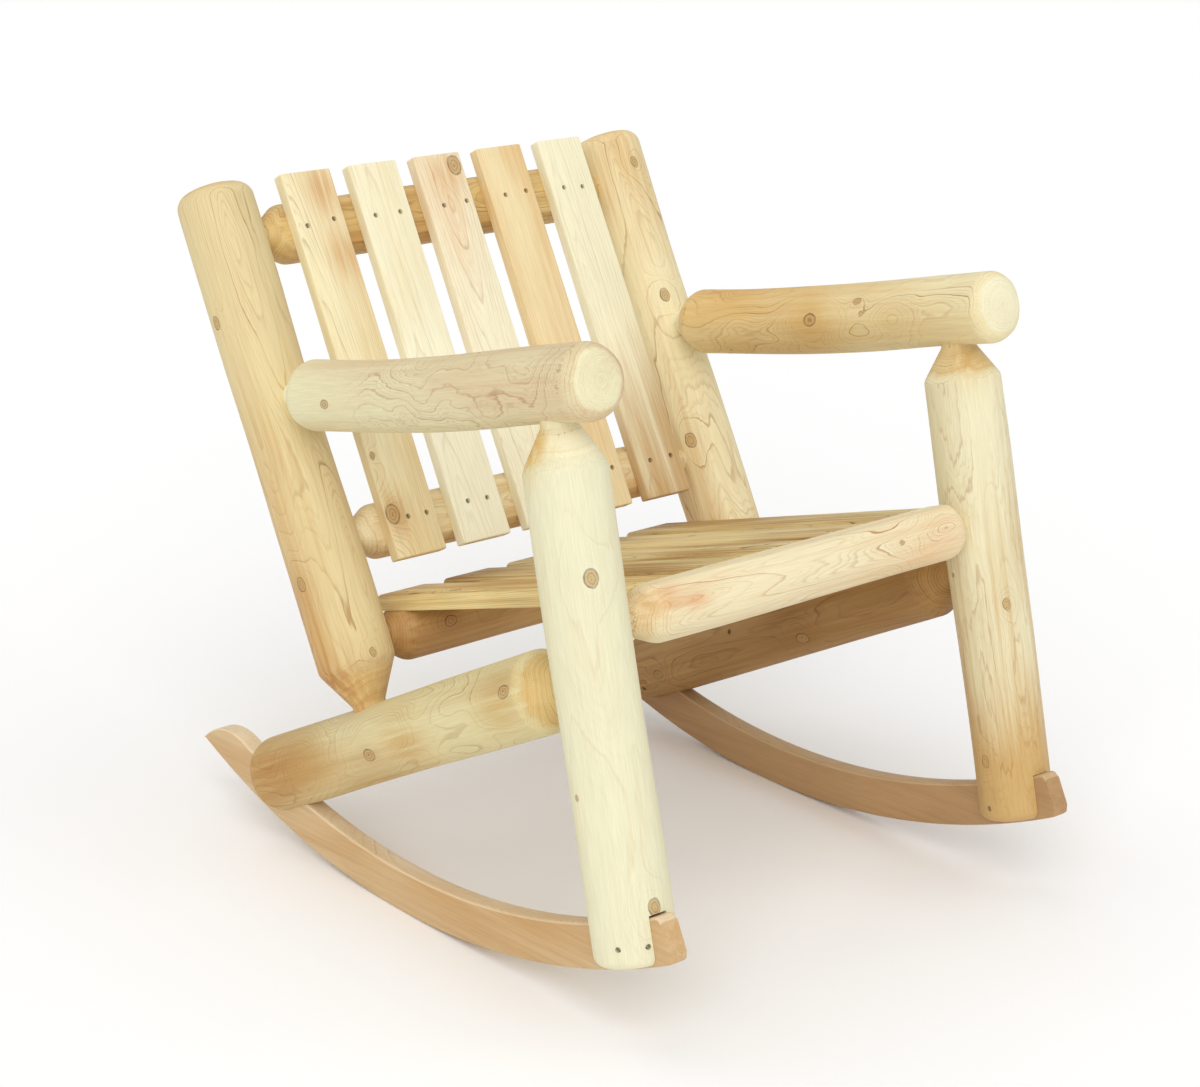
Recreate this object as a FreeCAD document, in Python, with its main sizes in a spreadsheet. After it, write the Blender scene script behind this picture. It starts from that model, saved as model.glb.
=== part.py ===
import FreeCAD, Part
import Sketcher
import math
import os
import re

# A peeled-log rocking chair, in millimetres and degrees.
# X runs across the seat (+X is the sitter's left), the chair faces -Y and Z is up from the floor.
# Each log is turned to a cone and a round tenon at its ends, and is housed in a bored log.

SIZES = {
    # side frame: the rear post stands on the side log at the knee, ahead of which is the front post
    "frame_half": 336.5,
    "knee_back": 89.5,
    "knee_height": 213.9,
    "side_span": 465.2,
    "rear_lean": 27.06,
    "side_rise": 25.73,
    "front_lean": 12.46,
    "rest_tilt": 2.445,
    "origin_shift": 29.706,
    # rockers, sawn to an arc with a rounded rear tip and a square front end
    "rocker_radius": 1105.6,
    "rocker_depth": 57.5,
    "rocker_thick": 26,
    "rocker_front_angle": 25.6,
    "rocker_rear_angle": 26.02,
    "rocker_nose": 89,
    "rocker_tip_round": 4,
    "rocker_end_round": 7,
    "rocker_edge": 1.6,
    # joinery
    "post_tenon": 44,
    "post_tenon_depth": 60,
    "rail_tenon": 37,
    "rail_tenon_depth": 48,
    "fit_gap": 0.15,
    "slot_gap": 0.25,
    "seat_gap": 0.2,
    "overrun": 20,
    # rear posts
    "rear_post_dia": 101,
    "rear_post_top": 751,
    "rear_post_shoulder": 105,
    "rear_post_round": 20,
    # front posts
    "front_post_dia": 99.5,
    "front_post_shoulder": 244,
    "front_post_round": 11,
    "foot_clear": 2.5,
    # side logs
    "side_log_dia": 103.5,
    "side_log_tail": 266,
    "side_log_shoulder": 364,
    "side_log_round": 24,
    # arms
    "arm_level": 466,
    "arm_height_right": 342,
    "arm_height_left": 335,
    "arm_shoulder": 94,
    "arm_rear_dia": 92,
    "arm_mid_dia": 89,
    "arm_front_dia": 93.5,
    "arm_overhang": 84,
    "arm_straight": 40,
    "arm_bow": 5,
    "arm_front_sag": 3,
    "arm_bevel": 5,
    # cross logs, placed down from the rear post's top or up from the knee
    "top_rail_drop": 73.5,
    "low_rail_up": 266.2,
    "seat_rail_up": 131.5,
    "top_rail_dia": 81,
    "low_rail_dia": 74,
    "seat_rail_dia": 76,
    "rail_cone": 30,
    # front seat log, placed along the front post above the side log
    "front_log_up": 55.4,
    "front_log_right_dia": 74,
    "front_log_left_dia": 79,
    "front_log_right_cone": 46,
    "front_log_left_cone": 24,
    # back slats
    "back_slat_count": 5,
    "back_slat_gap": 29.8,
    "back_slat_thick": 17,
    "back_slat_drop": 4.3,
    "back_slat_side_gap": 28.9,
    "back_slat_up": 218.2,
    "back_face": 45,
    "back_slat_edge": 2.5,
    # seat slats
    "seat_slat_count": 5,
    "seat_slat_gap": 24.8,
    "seat_slat_thick": 21,
    "seat_slat_side_gap": 26.4,
    "seat_slat_edge": 7,
    "seat_on_rail": 27.6,
    "seat_over_log": 32.9,
    "seat_overhang": 36,
    "seat_lip": 18,
}

# Places worked out from the sizes, in the side frame as it is drawn, before it settles on its rockers.
LAYOUT = {
    "cross_y": "knee_back - side_span * cos(side_rise)",
    "cross_z": "knee_height + side_span * sin(side_rise)",
    "seat_rail_y": "knee_back + seat_rail_up * sin(rear_lean)",
    "seat_rail_z": "knee_height + seat_rail_up * cos(rear_lean)",
    "low_rail_y": "knee_back + low_rail_up * sin(rear_lean)",
    "low_rail_z": "knee_height + low_rail_up * cos(rear_lean)",
    "top_rail_up": "rear_post_top - top_rail_drop",
    "top_rail_y": "knee_back + top_rail_up * sin(rear_lean)",
    "top_rail_z": "knee_height + top_rail_up * cos(rear_lean)",
    "front_log_y": "cross_y + front_log_up * sin(front_lean)",
    "front_log_z": "cross_z + front_log_up * cos(front_lean)",
    "arm_rear_y": "knee_back + arm_level * sin(rear_lean)",
    "arm_rear_z": "knee_height + arm_level * cos(rear_lean)",
    "arm_inner": "rear_post_dia / 2 - rail_tenon_depth",
    "knee_skew": "rear_lean - side_rise",
    "knee_crown": "(side_log_dia / 2 + post_tenon / 2 * sin(knee_skew)) / cos(knee_skew) + seat_gap",
    "knee_inner": "side_log_dia / 2 - post_tenon_depth",
    "side_skew": "side_rise - front_lean",
    "side_gap": "(front_post_dia / 2 + post_tenon / 2 * sin(side_skew)) / cos(side_skew)",
    "side_neck": "side_span - side_gap - seat_gap",
    "side_inner": "side_span - front_post_dia / 2 + post_tenon_depth",
    "side_shoulder_in": "side_neck - overrun",
    "foot_reach": "front_post_dia / 2 - front_post_round",
    "foot_y": "cross_y - foot_reach * cos(front_lean)",
    "foot_z": "cross_z - rocker_radius + foot_reach * sin(front_lean)",
    "foot_along": "foot_y * sin(front_lean) + foot_z * cos(front_lean)",
    "foot_inner": "(rocker_radius - foot_clear) ^ 2 - foot_y ^ 2 - foot_z ^ 2 + foot_along ^ 2",
    "front_post_drop": "foot_along + sqrt(foot_inner)",
    "seat_run": "seat_rail_y - front_log_y",
    "seat_climb": "front_log_z - seat_rail_z",
    "seat_span": "sqrt(seat_run ^ 2 + seat_climb ^ 2)",
    "seat_drop": "seat_on_rail - seat_over_log + seat_slat_thick",
    "seat_rise": "(atan(seat_climb / seat_run) - asin(seat_drop / seat_span)) / 1 deg",
    "seat_reach": "sqrt(seat_span ^ 2 - seat_drop ^ 2)",
    "seat_y": "seat_rail_y + seat_on_rail * sin(seat_rise)",
    "seat_z": "seat_rail_z + seat_on_rail * cos(seat_rise)",
    "back_y": "knee_back + back_slat_up * sin(rear_lean) - back_face * cos(rear_lean)",
    "back_z": "knee_height + back_slat_up * cos(rear_lean) + back_face * sin(rear_lean)",
    "post_inside": "frame_half - rear_post_dia / 2",
    "rail_end": "post_inside + rail_tenon_depth",
    "front_inside": "frame_half - front_post_dia / 2",
    "front_log_end": "front_inside + rail_tenon_depth",
    "seat_slat_end": "seat_reach - seat_lip - seat_gap",
    "back_width": "2 * (post_inside - back_slat_side_gap)",
    "back_slat_width": "(back_width + back_slat_gap) / back_slat_count - back_slat_gap",
    "back_slat_pitch": "back_slat_width + back_slat_gap",
    "back_slat_length": "rear_post_top - back_slat_drop - back_slat_up",
    "seat_width": "2 * (post_inside - seat_slat_side_gap)",
    "seat_slat_width": "(seat_width + seat_slat_gap) / seat_slat_count - seat_slat_gap",
    "seat_slat_pitch": "seat_slat_width + seat_slat_gap",
    "rocker_top": "rocker_radius - rocker_depth",
}

# Each arm lies between its own two crossings, the left one a little lower at its front.
ARM_LAYOUT = {
    "front_y": "cross_y + arm_height_{0} * sin(front_lean)",
    "front_z": "cross_z + arm_height_{0} * cos(front_lean)",
    "run": "arm_rear_y - {0}_arm_front_y",
    "climb": "{0}_arm_front_z - arm_rear_z",
    "rise": "atan({0}_arm_climb / {0}_arm_run) / 1 deg",
    "chord": "sqrt({0}_arm_run ^ 2 + {0}_arm_climb ^ 2)",
    "end": "{0}_arm_chord + arm_overhang",
    "skew": "rear_lean - {0}_arm_rise",
    "neck": "(rear_post_dia / 2 + rail_tenon / 2 * sin({0}_arm_skew)) / cos({0}_arm_skew) + seat_gap",
    "bend": "{0}_arm_chord - arm_straight",
    "underside": "arm_height_{0} - arm_front_sag - arm_front_dia / 2 - seat_gap",
}

SIDES = {"right": -1, "left": 1}

for word in SIDES:
    for key, text in ARM_LAYOUT.items():
        LAYOUT["%s_arm_%s" % (word, key)] = text.format(word)

# Where the arm's rings stand, as shares of its bowed part, from the rear shoulder to the straight front.
ARM_RING_SHARES = (0, 0.2, 0.4, 0.6, 0.8, 1)

# Where the flats of a log's worn end meet, in degrees up its rounding.
WORN_ANGLES = (0, 30, 60, 90)

RAIL_LABELS = {"top_rail": "top_back_rail", "low_rail": "lower_back_rail", "seat_rail": "rear_seat_rail"}

# No turn, and how near two places are when they count as one.
STILL = "rotation(vector(1; 0; 0); 0)"
CLOSE = 0.01

doc = FreeCAD.newDocument("log_rocking_chair")


def fill_sheet(name, rows):
    sheet = doc.addObject("Spreadsheet::Sheet", name)
    for row, (alias, value) in enumerate(rows, start=1):
        sheet.set("A%d" % row, alias)
        sheet.set("B%d" % row, value)
        sheet.setAlias("B%d" % row, alias)
    doc.recompute()
    return sheet


def in_sheets(expression):
    """Put the sheet's name before each size or worked-out place in an expression."""
    def full(match):
        word = match.group(0)
        if word in SIZES:
            return "sizes." + word
        if word in LAYOUT:
            return "layout." + word
        return word
    return re.sub(r"[a-z_]+", full, str(expression))


sizes = fill_sheet("sizes", [(name, repr(value)) for name, value in SIZES.items()])
layout = fill_sheet("layout", [(name, "=" + in_sheets(text).replace("layout.", ""))
                               for name, text in LAYOUT.items()])


def value_of(expression):
    return float(sizes.evalExpression(in_sheets(expression)))


def bind(thing, prop, expression):
    thing.setExpression(prop, in_sheets(expression))


# The whole drawing is turned back about the rockers' centre until its weight hangs under that centre.
SETTLED = ("placement(vector(0; origin_shift; rocker_radius); rotation(vector(1; 0; 0); -rest_tilt)) * "
           "placement(vector(0; 0; -rocker_radius); rotation(vector(1; 0; 0); 0)) * ")


def spot(x, y, z, turn="0"):
    return "placement(vector(%s; %s; %s); rotation(vector(1; 0; 0); %s))" % (x, y, z, turn)


def turned_to(start, axis, turn):
    return "placement(vector(%s); rotation(vector(%s); %s))" % (start, axis, turn)


def on_side(word):
    return "frame_half * %d" % SIDES[word]


def rear_post_frame(word):
    return spot(on_side(word), "knee_back", "knee_height", "-rear_lean")


def front_post_frame(word):
    return spot(on_side(word), "cross_y", "cross_z", "-front_lean")


def side_log_frame(word):
    return spot(on_side(word), "knee_back", "knee_height", "90 - side_rise")


def arm_frame(word):
    return spot(on_side(word), "arm_rear_y", "arm_rear_z", "90 - %s_arm_rise" % word)


BACK_FRAME = spot("0", "back_y", "back_z", "-rear_lean")
SEAT_FRAME = spot("0", "seat_y", "seat_z", "-seat_rise")


def place(thing, frame, inside=None):
    text = SETTLED + frame
    if inside:
        text = text + " * " + inside
    bind(thing, "Placement", text)


def new_body(name):
    body = doc.addObject("PartDesign::Body", name)
    doc.recompute()
    return body


def plane_of(body, role):
    return next(item for item in body.Origin.OriginFeatures if item.Role == role)


def new_sketch(body, name, role, height=None):
    sketch = body.newObject("Sketcher::SketchObject", name)
    sketch.AttachmentSupport = [(plane_of(body, role), "")]
    sketch.MapMode = "FlatFace"
    if height:
        bind(sketch, "AttachmentOffset.Base.z", height)
    return sketch


def fix_point(sketch, geometry, end, expressions):
    """Tie a point's two distances from the sketch's origin to sizes."""
    for kind, axis, expression in (("DistanceX", -2, expressions[0]), ("DistanceY", -1, expressions[1])):
        if expression == "0":
            sketch.addConstraint(Sketcher.Constraint("PointOnObject", geometry, end, axis))
            continue
        number = sketch.addConstraint(
            Sketcher.Constraint(kind, -1, 1, geometry, end, value_of(expression)))
        sketch.setExpression("Constraints[%d]" % number, in_sheets(expression))


def draw_outline(sketch, points):
    places = [FreeCAD.Vector(value_of(x), value_of(y), 0) for x, y in points]
    count = len(points)
    for index in range(count):
        line = Part.LineSegment(places[index], places[(index + 1) % count])
        sketch.addGeometry(line, False)
    for index in range(count):
        sketch.addConstraint(Sketcher.Constraint("Coincident", index, 2, (index + 1) % count, 1))
    for index in range(count):
        fix_point(sketch, index, 1, points[index])


def turn_profile(body, points, along="Z"):
    """Turn a half outline, given as (radius, height) or (length, radius), into a round log."""
    sketch = new_sketch(body, "Outline", "XZ_Plane" if along == "Z" else "XY_Plane")
    draw_outline(sketch, points)
    turned = body.newObject("PartDesign::Revolution", "Turned")
    turned.Profile = sketch
    turned.ReferenceAxis = (sketch, ["V_Axis" if along == "Z" else "H_Axis"])
    turned.Angle = 360
    doc.recompute()


def worn_edge(radius, reach, rounding, low=False):
    """The outline's points where a log's end is worn round in three flats; low is for the lower end."""
    points = [("%s - %s * (1 - cos(%g))" % (radius, rounding, angle),
               "%s - %s * (1 - sin(%g))" % (reach, rounding, angle)) for angle in WORN_ANGLES]
    if low:
        return [(across, "-(%s)" % height) for across, height in reversed(points)]
    return points


def edges_where(shape, test):
    return ["Edge%d" % (number + 1) for number, edge in enumerate(shape.Edges) if test(edge.BoundBox)]


def ease_edges(body, feature, test, kind, size):
    chosen = edges_where(feature.Shape, test)
    eased = body.newObject("PartDesign::" + kind, "Eased")
    eased.Base = (feature, chosen)
    bind(eased, "Size" if kind == "Chamfer" else "Radius", size)
    doc.recompute()
    return eased


def round_edges(body, feature, test, radius):
    return ease_edges(body, feature, test, "Fillet", radius)


def cylinder(name, radius, length, frame, inside=None):
    drum = doc.addObject("Part::Cylinder", name)
    bind(drum, "Radius", radius)
    bind(drum, "Height", length)
    place(drum, frame, inside)
    return drum


def box(name, length, width, height, frame, inside):
    block = doc.addObject("Part::Box", name)
    bind(block, "Length", length)
    bind(block, "Width", width)
    bind(block, "Height", height)
    place(block, frame, inside)
    return block


def cross_bar(name, radius, half_length, y, z):
    """A cylinder across the chair, used to bore the sockets of a cross log at both its ends."""
    inside = "placement(vector(-(%s); 0; 0); rotation(vector(0; 1; 0); 90))" % half_length
    return cylinder(name, radius, "2 * (%s)" % half_length, spot("0", y, z), inside)


def cut_from(name, base, tools):
    """Take the tools out of a blank; what is left is the finished piece."""
    tool = tools[0]
    if len(tools) > 1:
        tool = doc.addObject("Part::MultiFuse", name + "_tools")
        tool.Shapes = tools
    cut = doc.addObject("Part::Cut", name)
    cut.Base = base
    cut.Tool = tool
    return cut


finished = []


def finish(piece, label):
    piece.Label = label
    finished.append(piece)
    return piece


# Sawn slats, built flat with their rounded face up and then set in the seat or the back

def slat(name, width, low, high, thick, edge, ends, frame, inside):
    """A board whose upper edges are eased, at its ends too where ends is true."""
    body = new_body(name)
    sketch = new_sketch(body, "Outline", "XY_Plane")
    left = "-(%s) / 2" % width
    right = "(%s) / 2" % width
    draw_outline(sketch, [(left, low), (right, low), (right, high), (left, high)])
    board = body.newObject("PartDesign::Pad", "Board")
    board.Profile = sketch
    bind(board, "Length", thick)
    doc.recompute()
    top = value_of(thick)
    round_edges(body, board, lambda side: side.ZMin > top - CLOSE and (ends or side.YLength > side.XLength), edge)
    place(body, frame, inside)
    return body


def row_places(count, pitch):
    return ["%s * %s" % (pitch, index - (count - 1) / 2) for index in range(count)]


def build_back_slats():
    for index, x in enumerate(row_places(int(SIZES["back_slat_count"]), "back_slat_pitch"), start=1):
        board = slat("back_board_%d" % index, "back_slat_width", "0", "back_slat_length",
                     "back_slat_thick", "back_slat_edge", True, BACK_FRAME,
                     turned_to(x + "; back_slat_thick; 0", "1; 0; 0", "90"))
        finish(board, "back_slat_%d" % index)


def build_seat_slats():
    for index, x in enumerate(row_places(int(SIZES["seat_slat_count"]), "seat_slat_pitch"), start=1):
        board = slat("seat_board_%d" % index, "seat_slat_width", "-seat_slat_end", "seat_overhang",
                     "seat_slat_thick", "seat_slat_edge", False, SEAT_FRAME,
                     turned_to(x + "; 0; 0", "1; 0; 0", "0"))
        finish(board, "seat_slat_%d" % index)


# Cross logs

def cross_log(name, y, z, dias, cones, inside, end, tools):
    """A log across the chair with a cone and a tenon at each end; dias and cones are right, left."""
    body = new_body(name + "_log")
    tenon = "rail_tenon / 2"
    turn_profile(body, [
        ("-(%s)" % end, "0"), ("-(%s)" % end, tenon), ("-(%s)" % inside, tenon),
        ("-(%s - %s)" % (inside, cones[0]), dias[0] + " / 2"),
        ("%s - %s" % (inside, cones[1]), dias[1] + " / 2"),
        (inside, tenon), (end, tenon), (end, "0")], along="X")
    place(body, spot("0", y, z))
    return finish(cut_from(name + "_cut", body, tools), name)


def build_cross_logs():
    back_flat = box("back_flat", "2 * post_inside", "rear_post_dia", "back_slat_length", BACK_FRAME,
                    "placement(vector(-post_inside; back_slat_thick - rear_post_dia; 0); %s)" % STILL)
    seat_flat = box("seat_flat", "2 * post_inside", "2 * seat_rail_dia", "seat_rail_dia", SEAT_FRAME,
                    "placement(vector(-post_inside; -seat_rail_dia; 0); %s)" % STILL)
    lip_flat = box("lip_flat", "2 * front_inside", "2 * front_log_left_dia", "front_log_left_dia", SEAT_FRAME,
                   "placement(vector(-front_inside; -seat_reach - front_log_left_dia; seat_slat_thick); %s)"
                   % STILL)
    ledge = box("ledge", "seat_width + 2 * seat_gap", "front_log_left_dia", "front_log_left_dia", SEAT_FRAME,
                "placement(vector(-seat_width / 2 - seat_gap; seat_lip - seat_reach; 0); %s)" % STILL)
    cones = ("rail_cone", "rail_cone")
    for name, dia, tools in (("top_rail", "top_rail_dia", [back_flat]),
                             ("low_rail", "low_rail_dia", [back_flat]),
                             ("seat_rail", "seat_rail_dia", [seat_flat])):
        cross_log(RAIL_LABELS[name], name + "_y", name + "_z", (dia, dia), cones,
                  "post_inside", "rail_end", tools)
    cross_log("front_seat_log", "front_log_y", "front_log_z",
              ("front_log_right_dia", "front_log_left_dia"),
              ("front_log_right_cone", "front_log_left_cone"),
              "front_inside", "front_log_end", [lip_flat, ledge])


# Side frames

def build_rear_post(word, bars):
    body = new_body("rear_post_%s_log" % word)
    tenon = "post_tenon / 2"
    turn_profile(body, [
        ("0", "knee_inner"), (tenon, "knee_inner"), (tenon, "knee_crown"),
        ("rear_post_dia / 2", "rear_post_shoulder")]
        + worn_edge("rear_post_dia / 2", "rear_post_top", "rear_post_round") + [("0", "rear_post_top")])
    place(body, rear_post_frame(word))
    socket = cylinder("arm_socket_" + word, "rail_tenon / 2 + fit_gap", "arm_shoulder - arm_inner + seat_gap",
                      arm_frame(word), "placement(vector(0; 0; arm_inner - seat_gap); %s)" % STILL)
    finish(cut_from("rear_post_%s_cut" % word, body, bars + [socket]), "rear_post_" + word)


def build_front_post(word, bar, slot):
    body = new_body("front_post_%s_log" % word)
    tenon = "post_tenon / 2"
    seat = word + "_arm_underside"
    tip = seat + " + rail_tenon_depth"
    foot = worn_edge("front_post_dia / 2", "front_post_drop", "front_post_round", low=True)
    turn_profile(body, [("0", "-front_post_drop")] + foot + [
        ("front_post_dia / 2", "front_post_shoulder"), (tenon, seat), (tenon, tip), ("0", tip)])
    place(body, front_post_frame(word))
    socket = cylinder("side_socket_" + word, "post_tenon / 2 + fit_gap",
                      "side_inner - side_shoulder_in + seat_gap", side_log_frame(word),
                      "placement(vector(0; 0; side_shoulder_in); %s)" % STILL)
    finish(cut_from("front_post_%s_cut" % word, body, [bar, socket, slot]), "front_post_" + word)


def build_side_log(word, slot):
    body = new_body("side_log_%s_log" % word)
    tenon = "post_tenon / 2"
    tail = worn_edge("side_log_dia / 2", "side_log_tail", "side_log_round", low=True)
    turn_profile(body, [("0", "-side_log_tail")] + tail + [
        ("side_log_dia / 2", "side_log_shoulder"), (tenon, "side_neck"), (tenon, "side_inner"),
        ("0", "side_inner")])
    place(body, side_log_frame(word))
    socket = cylinder("knee_socket_" + word, "post_tenon / 2 + fit_gap", "post_tenon_depth + overrun",
                      rear_post_frame(word), "placement(vector(0; 0; knee_inner - seat_gap); %s)" % STILL)
    finish(cut_from("side_log_%s_cut" % word, body, [socket, slot]), "side_log_" + word)


def ring(body, name, height, sag, dia):
    sketch = new_sketch(body, name, "XY_Plane", height)
    circle = Part.Circle(FreeCAD.Vector(0, value_of(sag), 0), FreeCAD.Vector(0, 0, 1), value_of(dia) / 2)
    sketch.addGeometry(circle, False)
    fix_point(sketch, 0, 3, ("0", sag))
    number = sketch.addConstraint(Sketcher.Constraint("Diameter", 0, value_of(dia)))
    bind(sketch, "Constraints[%d]" % number, dia)
    return sketch


def arm_dia(share):
    """The arm is thinnest in the middle and swells again to its sawn front end."""
    if share <= 0.5:
        return "arm_rear_dia + (arm_mid_dia - arm_rear_dia) * %s" % (2 * share)
    return "arm_mid_dia + (arm_front_dia - arm_mid_dia) * %s" % (2 * share - 1)


def limb(body, name, rings):
    loft = body.newObject("PartDesign::AdditiveLoft", name)
    loft.Profile = rings[0]
    loft.Sections = rings[1:]
    loft.Ruled = True
    doc.recompute()


def build_arm(word):
    body = new_body("arm_%s_log" % word)
    tenon = "rail_tenon / 2"
    turn_profile(body, [("0", "arm_inner"), (tenon, "arm_inner"), (tenon, word + "_arm_neck"),
                        ("arm_rear_dia / 2", "arm_shoulder"), ("0", "arm_shoulder")])
    bend = word + "_arm_bend"
    end = word + "_arm_end"
    level = "-arm_front_sag"
    rings = []
    for share in ARM_RING_SHARES:
        height = "arm_shoulder + (%s - arm_shoulder) * %s" % (bend, share)
        sag = "-4 * arm_bow * %s - arm_front_sag * %s" % (share * (1 - share), share)
        rings.append(ring(body, "Ring", height, sag if share else "0", arm_dia(share)))
    doc.recompute()
    limb(body, "Bowed", rings)
    for name, start, stop, face_dia in (
            ("Front", bend, end + " - arm_bevel", "arm_front_dia"),
            ("Bevel", end + " - arm_bevel", end, "arm_front_dia - 2 * arm_bevel")):
        limb(body, name, [ring(body, name + "Start", start, level, "arm_front_dia"),
                          ring(body, name + "Stop", stop, level, face_dia)])
    place(body, arm_frame(word))
    socket = cylinder("post_socket_" + word, "post_tenon / 2 + fit_gap",
                      "rail_tenon_depth + overrun + seat_gap", front_post_frame(word),
                      "placement(vector(0; 0; %s_arm_underside - overrun); %s)" % (word, STILL))
    finish(cut_from("arm_%s_cut" % word, body, [socket]), "arm_" + word)


# Rockers

def rocker_arc(sketch, radius, start, stop):
    """An arc about the sketch's origin, with its angles measured from straight down."""
    circle = Part.Circle(FreeCAD.Vector(), FreeCAD.Vector(0, 0, 1), value_of(radius))
    arc = Part.ArcOfCircle(circle, math.radians(start - 90), math.radians(stop - 90))
    index = sketch.addGeometry(arc, False)
    sketch.addConstraint(Sketcher.Constraint("Coincident", index, 3, -1, 1))
    number = sketch.addConstraint(Sketcher.Constraint("Radius", index, value_of(radius)))
    bind(sketch, "Constraints[%d]" % number, radius)
    return index


def nose_angle():
    """Angle from straight down of the line through the nose arc's centre."""
    centre = value_of("rocker_top + rocker_nose")
    outer = value_of("rocker_radius")
    nose = value_of("rocker_nose")
    lag_cosine = (centre ** 2 + outer ** 2 - nose ** 2) / (2 * centre * outer)
    return value_of("rocker_rear_angle") - math.degrees(math.acos(lag_cosine))


def draw_rocker(sketch):
    front = -value_of("rocker_front_angle")
    rear = value_of("rocker_rear_angle")
    nose = math.radians(nose_angle() - 90)
    bottom = rocker_arc(sketch, "rocker_radius", front, rear)
    top = rocker_arc(sketch, "rocker_top", front, nose_angle())
    across = value_of("rocker_top + rocker_nose")
    centre = FreeCAD.Vector(across * math.cos(nose), across * math.sin(nose), 0)
    tip = sketch.getPoint(bottom, 2)
    tip_angle = math.atan2(tip.y - centre.y, tip.x - centre.x)
    circle = Part.Circle(centre, FreeCAD.Vector(0, 0, 1), value_of("rocker_nose"))
    round_nose = sketch.addGeometry(Part.ArcOfCircle(circle, tip_angle, nose + math.pi), False)
    end = sketch.addGeometry(Part.LineSegment(sketch.getPoint(bottom, 1), sketch.getPoint(top, 1)), False)
    sketch.addConstraint(Sketcher.Constraint("Coincident", end, 1, bottom, 1))
    sketch.addConstraint(Sketcher.Constraint("Coincident", end, 2, top, 1))
    sketch.addConstraint(Sketcher.Constraint("Coincident", round_nose, 1, bottom, 2))
    sketch.addConstraint(Sketcher.Constraint("Tangent", top, 2, round_nose, 2))
    sketch.addConstraint(Sketcher.Constraint("PointOnObject", -1, 1, end))
    for geometry, point, expression in ((bottom, 1, "-rocker_radius * sin(rocker_front_angle)"),
                                        (bottom, 2, "rocker_radius * sin(rocker_rear_angle)")):
        number = sketch.addConstraint(
            Sketcher.Constraint("DistanceX", -1, 1, geometry, point, value_of(expression)))
        bind(sketch, "Constraints[%d]" % number, expression)
    number = sketch.addConstraint(Sketcher.Constraint("Radius", round_nose, value_of("rocker_nose")))
    bind(sketch, "Constraints[%d]" % number, "rocker_nose")


def build_rocker(word):
    body = new_body("rocker_%s_plank" % word)
    sketch = new_sketch(body, "Outline", "YZ_Plane", "-rocker_thick / 2")
    draw_rocker(sketch)
    plank = body.newObject("PartDesign::Pad", "Plank")
    plank.Profile = sketch
    bind(plank, "Length", "rocker_thick")
    doc.recompute()
    half = value_of("rocker_thick / 2")
    tip = value_of("rocker_radius * sin(rocker_rear_angle)")
    nose = round_edges(body, plank, lambda edge: abs(edge.YMin - tip) < CLOSE and edge.XLength > half,
                       "rocker_tip_round")
    square = value_of("-rocker_top * sin(rocker_front_angle)")
    ends = round_edges(body, nose, lambda edge: edge.YMax < square + CLOSE and edge.XLength > half,
                       "rocker_end_round")
    ease_edges(body, ends, lambda edge: edge.XLength < CLOSE and abs(abs(edge.XMin) - half) < CLOSE,
               "Chamfer", "rocker_edge")
    place(body, spot(on_side(word), "0", "rocker_radius"))
    finish(body, "rocker_" + word)


def disc_across(name, radius, thick, word):
    """A disc about the rockers' centre, standing in one side frame."""
    inside = "placement(vector(-(%s) / 2; 0; 0); rotation(vector(0; 1; 0); 90))" % thick
    return cylinder(name, radius, thick, spot(on_side(word), "0", "rocker_radius"), inside)


def build_side(word, rail_bars, front_bar):
    slot = doc.addObject("Part::Cut", "rocker_slot_" + word)
    slot.Base = disc_across("slot_rim_" + word, "rocker_radius + overrun", "rocker_thick + 2 * slot_gap", word)
    slot.Tool = disc_across("slot_hub_" + word, "rocker_top - slot_gap", "rocker_thick + overrun", word)
    build_rear_post(word, rail_bars)
    build_front_post(word, front_bar, slot)
    build_side_log(word, slot)
    build_arm(word)
    build_rocker(word)


def build_chair():
    bore = "rail_tenon / 2 + fit_gap"
    rail_bars = [cross_bar(name + "_bar", bore, "rail_end + seat_gap", name + "_y", name + "_z")
                 for name in RAIL_LABELS]
    front_bar = cross_bar("front_log_bar", bore, "front_log_end + seat_gap", "front_log_y", "front_log_z")
    for word in SIDES:
        build_side(word, rail_bars, front_bar)
    build_cross_logs()
    build_back_slats()
    build_seat_slats()


def check_and_write():
    doc.recompute()
    for item in doc.Objects:
        if "Invalid" in item.State or "Error" in item.State:
            raise RuntimeError("failed object: %s %s" % (item.Name, item.State))
    os.makedirs("parts", exist_ok=True)
    moment = FreeCAD.Vector()
    volume = 0
    for piece in finished:
        shape = piece.Shape
        if shape.isNull() or not shape.isValid() or not shape.Solids:
            raise RuntimeError("bad shape: " + piece.Label)
    for piece in finished:
        piece.Shape.exportStep("parts/%s.step" % piece.Label)
        for solid in piece.Shape.Solids:
            moment = moment + solid.CenterOfMass * solid.Volume
            volume = volume + solid.Volume
        print(piece.Label, len(piece.Shape.Solids), "solids", round(piece.Shape.Volume))
    print("centre of weight", moment * (1 / volume), "volume", round(volume))
    whole = Part.makeCompound([piece.Shape for piece in finished]).BoundBox
    print("box", [round(v, 2) for v in (whole.XMin, whole.XMax, whole.YMin, whole.YMax, whole.ZMin, whole.ZMax)])


build_chair()
check_and_write()
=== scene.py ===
import math
from functools import partialmethod, reduce
from math import cos, pi, radians, sin
import bpy
import numpy as np
from mathutils import Matrix, Vector


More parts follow.
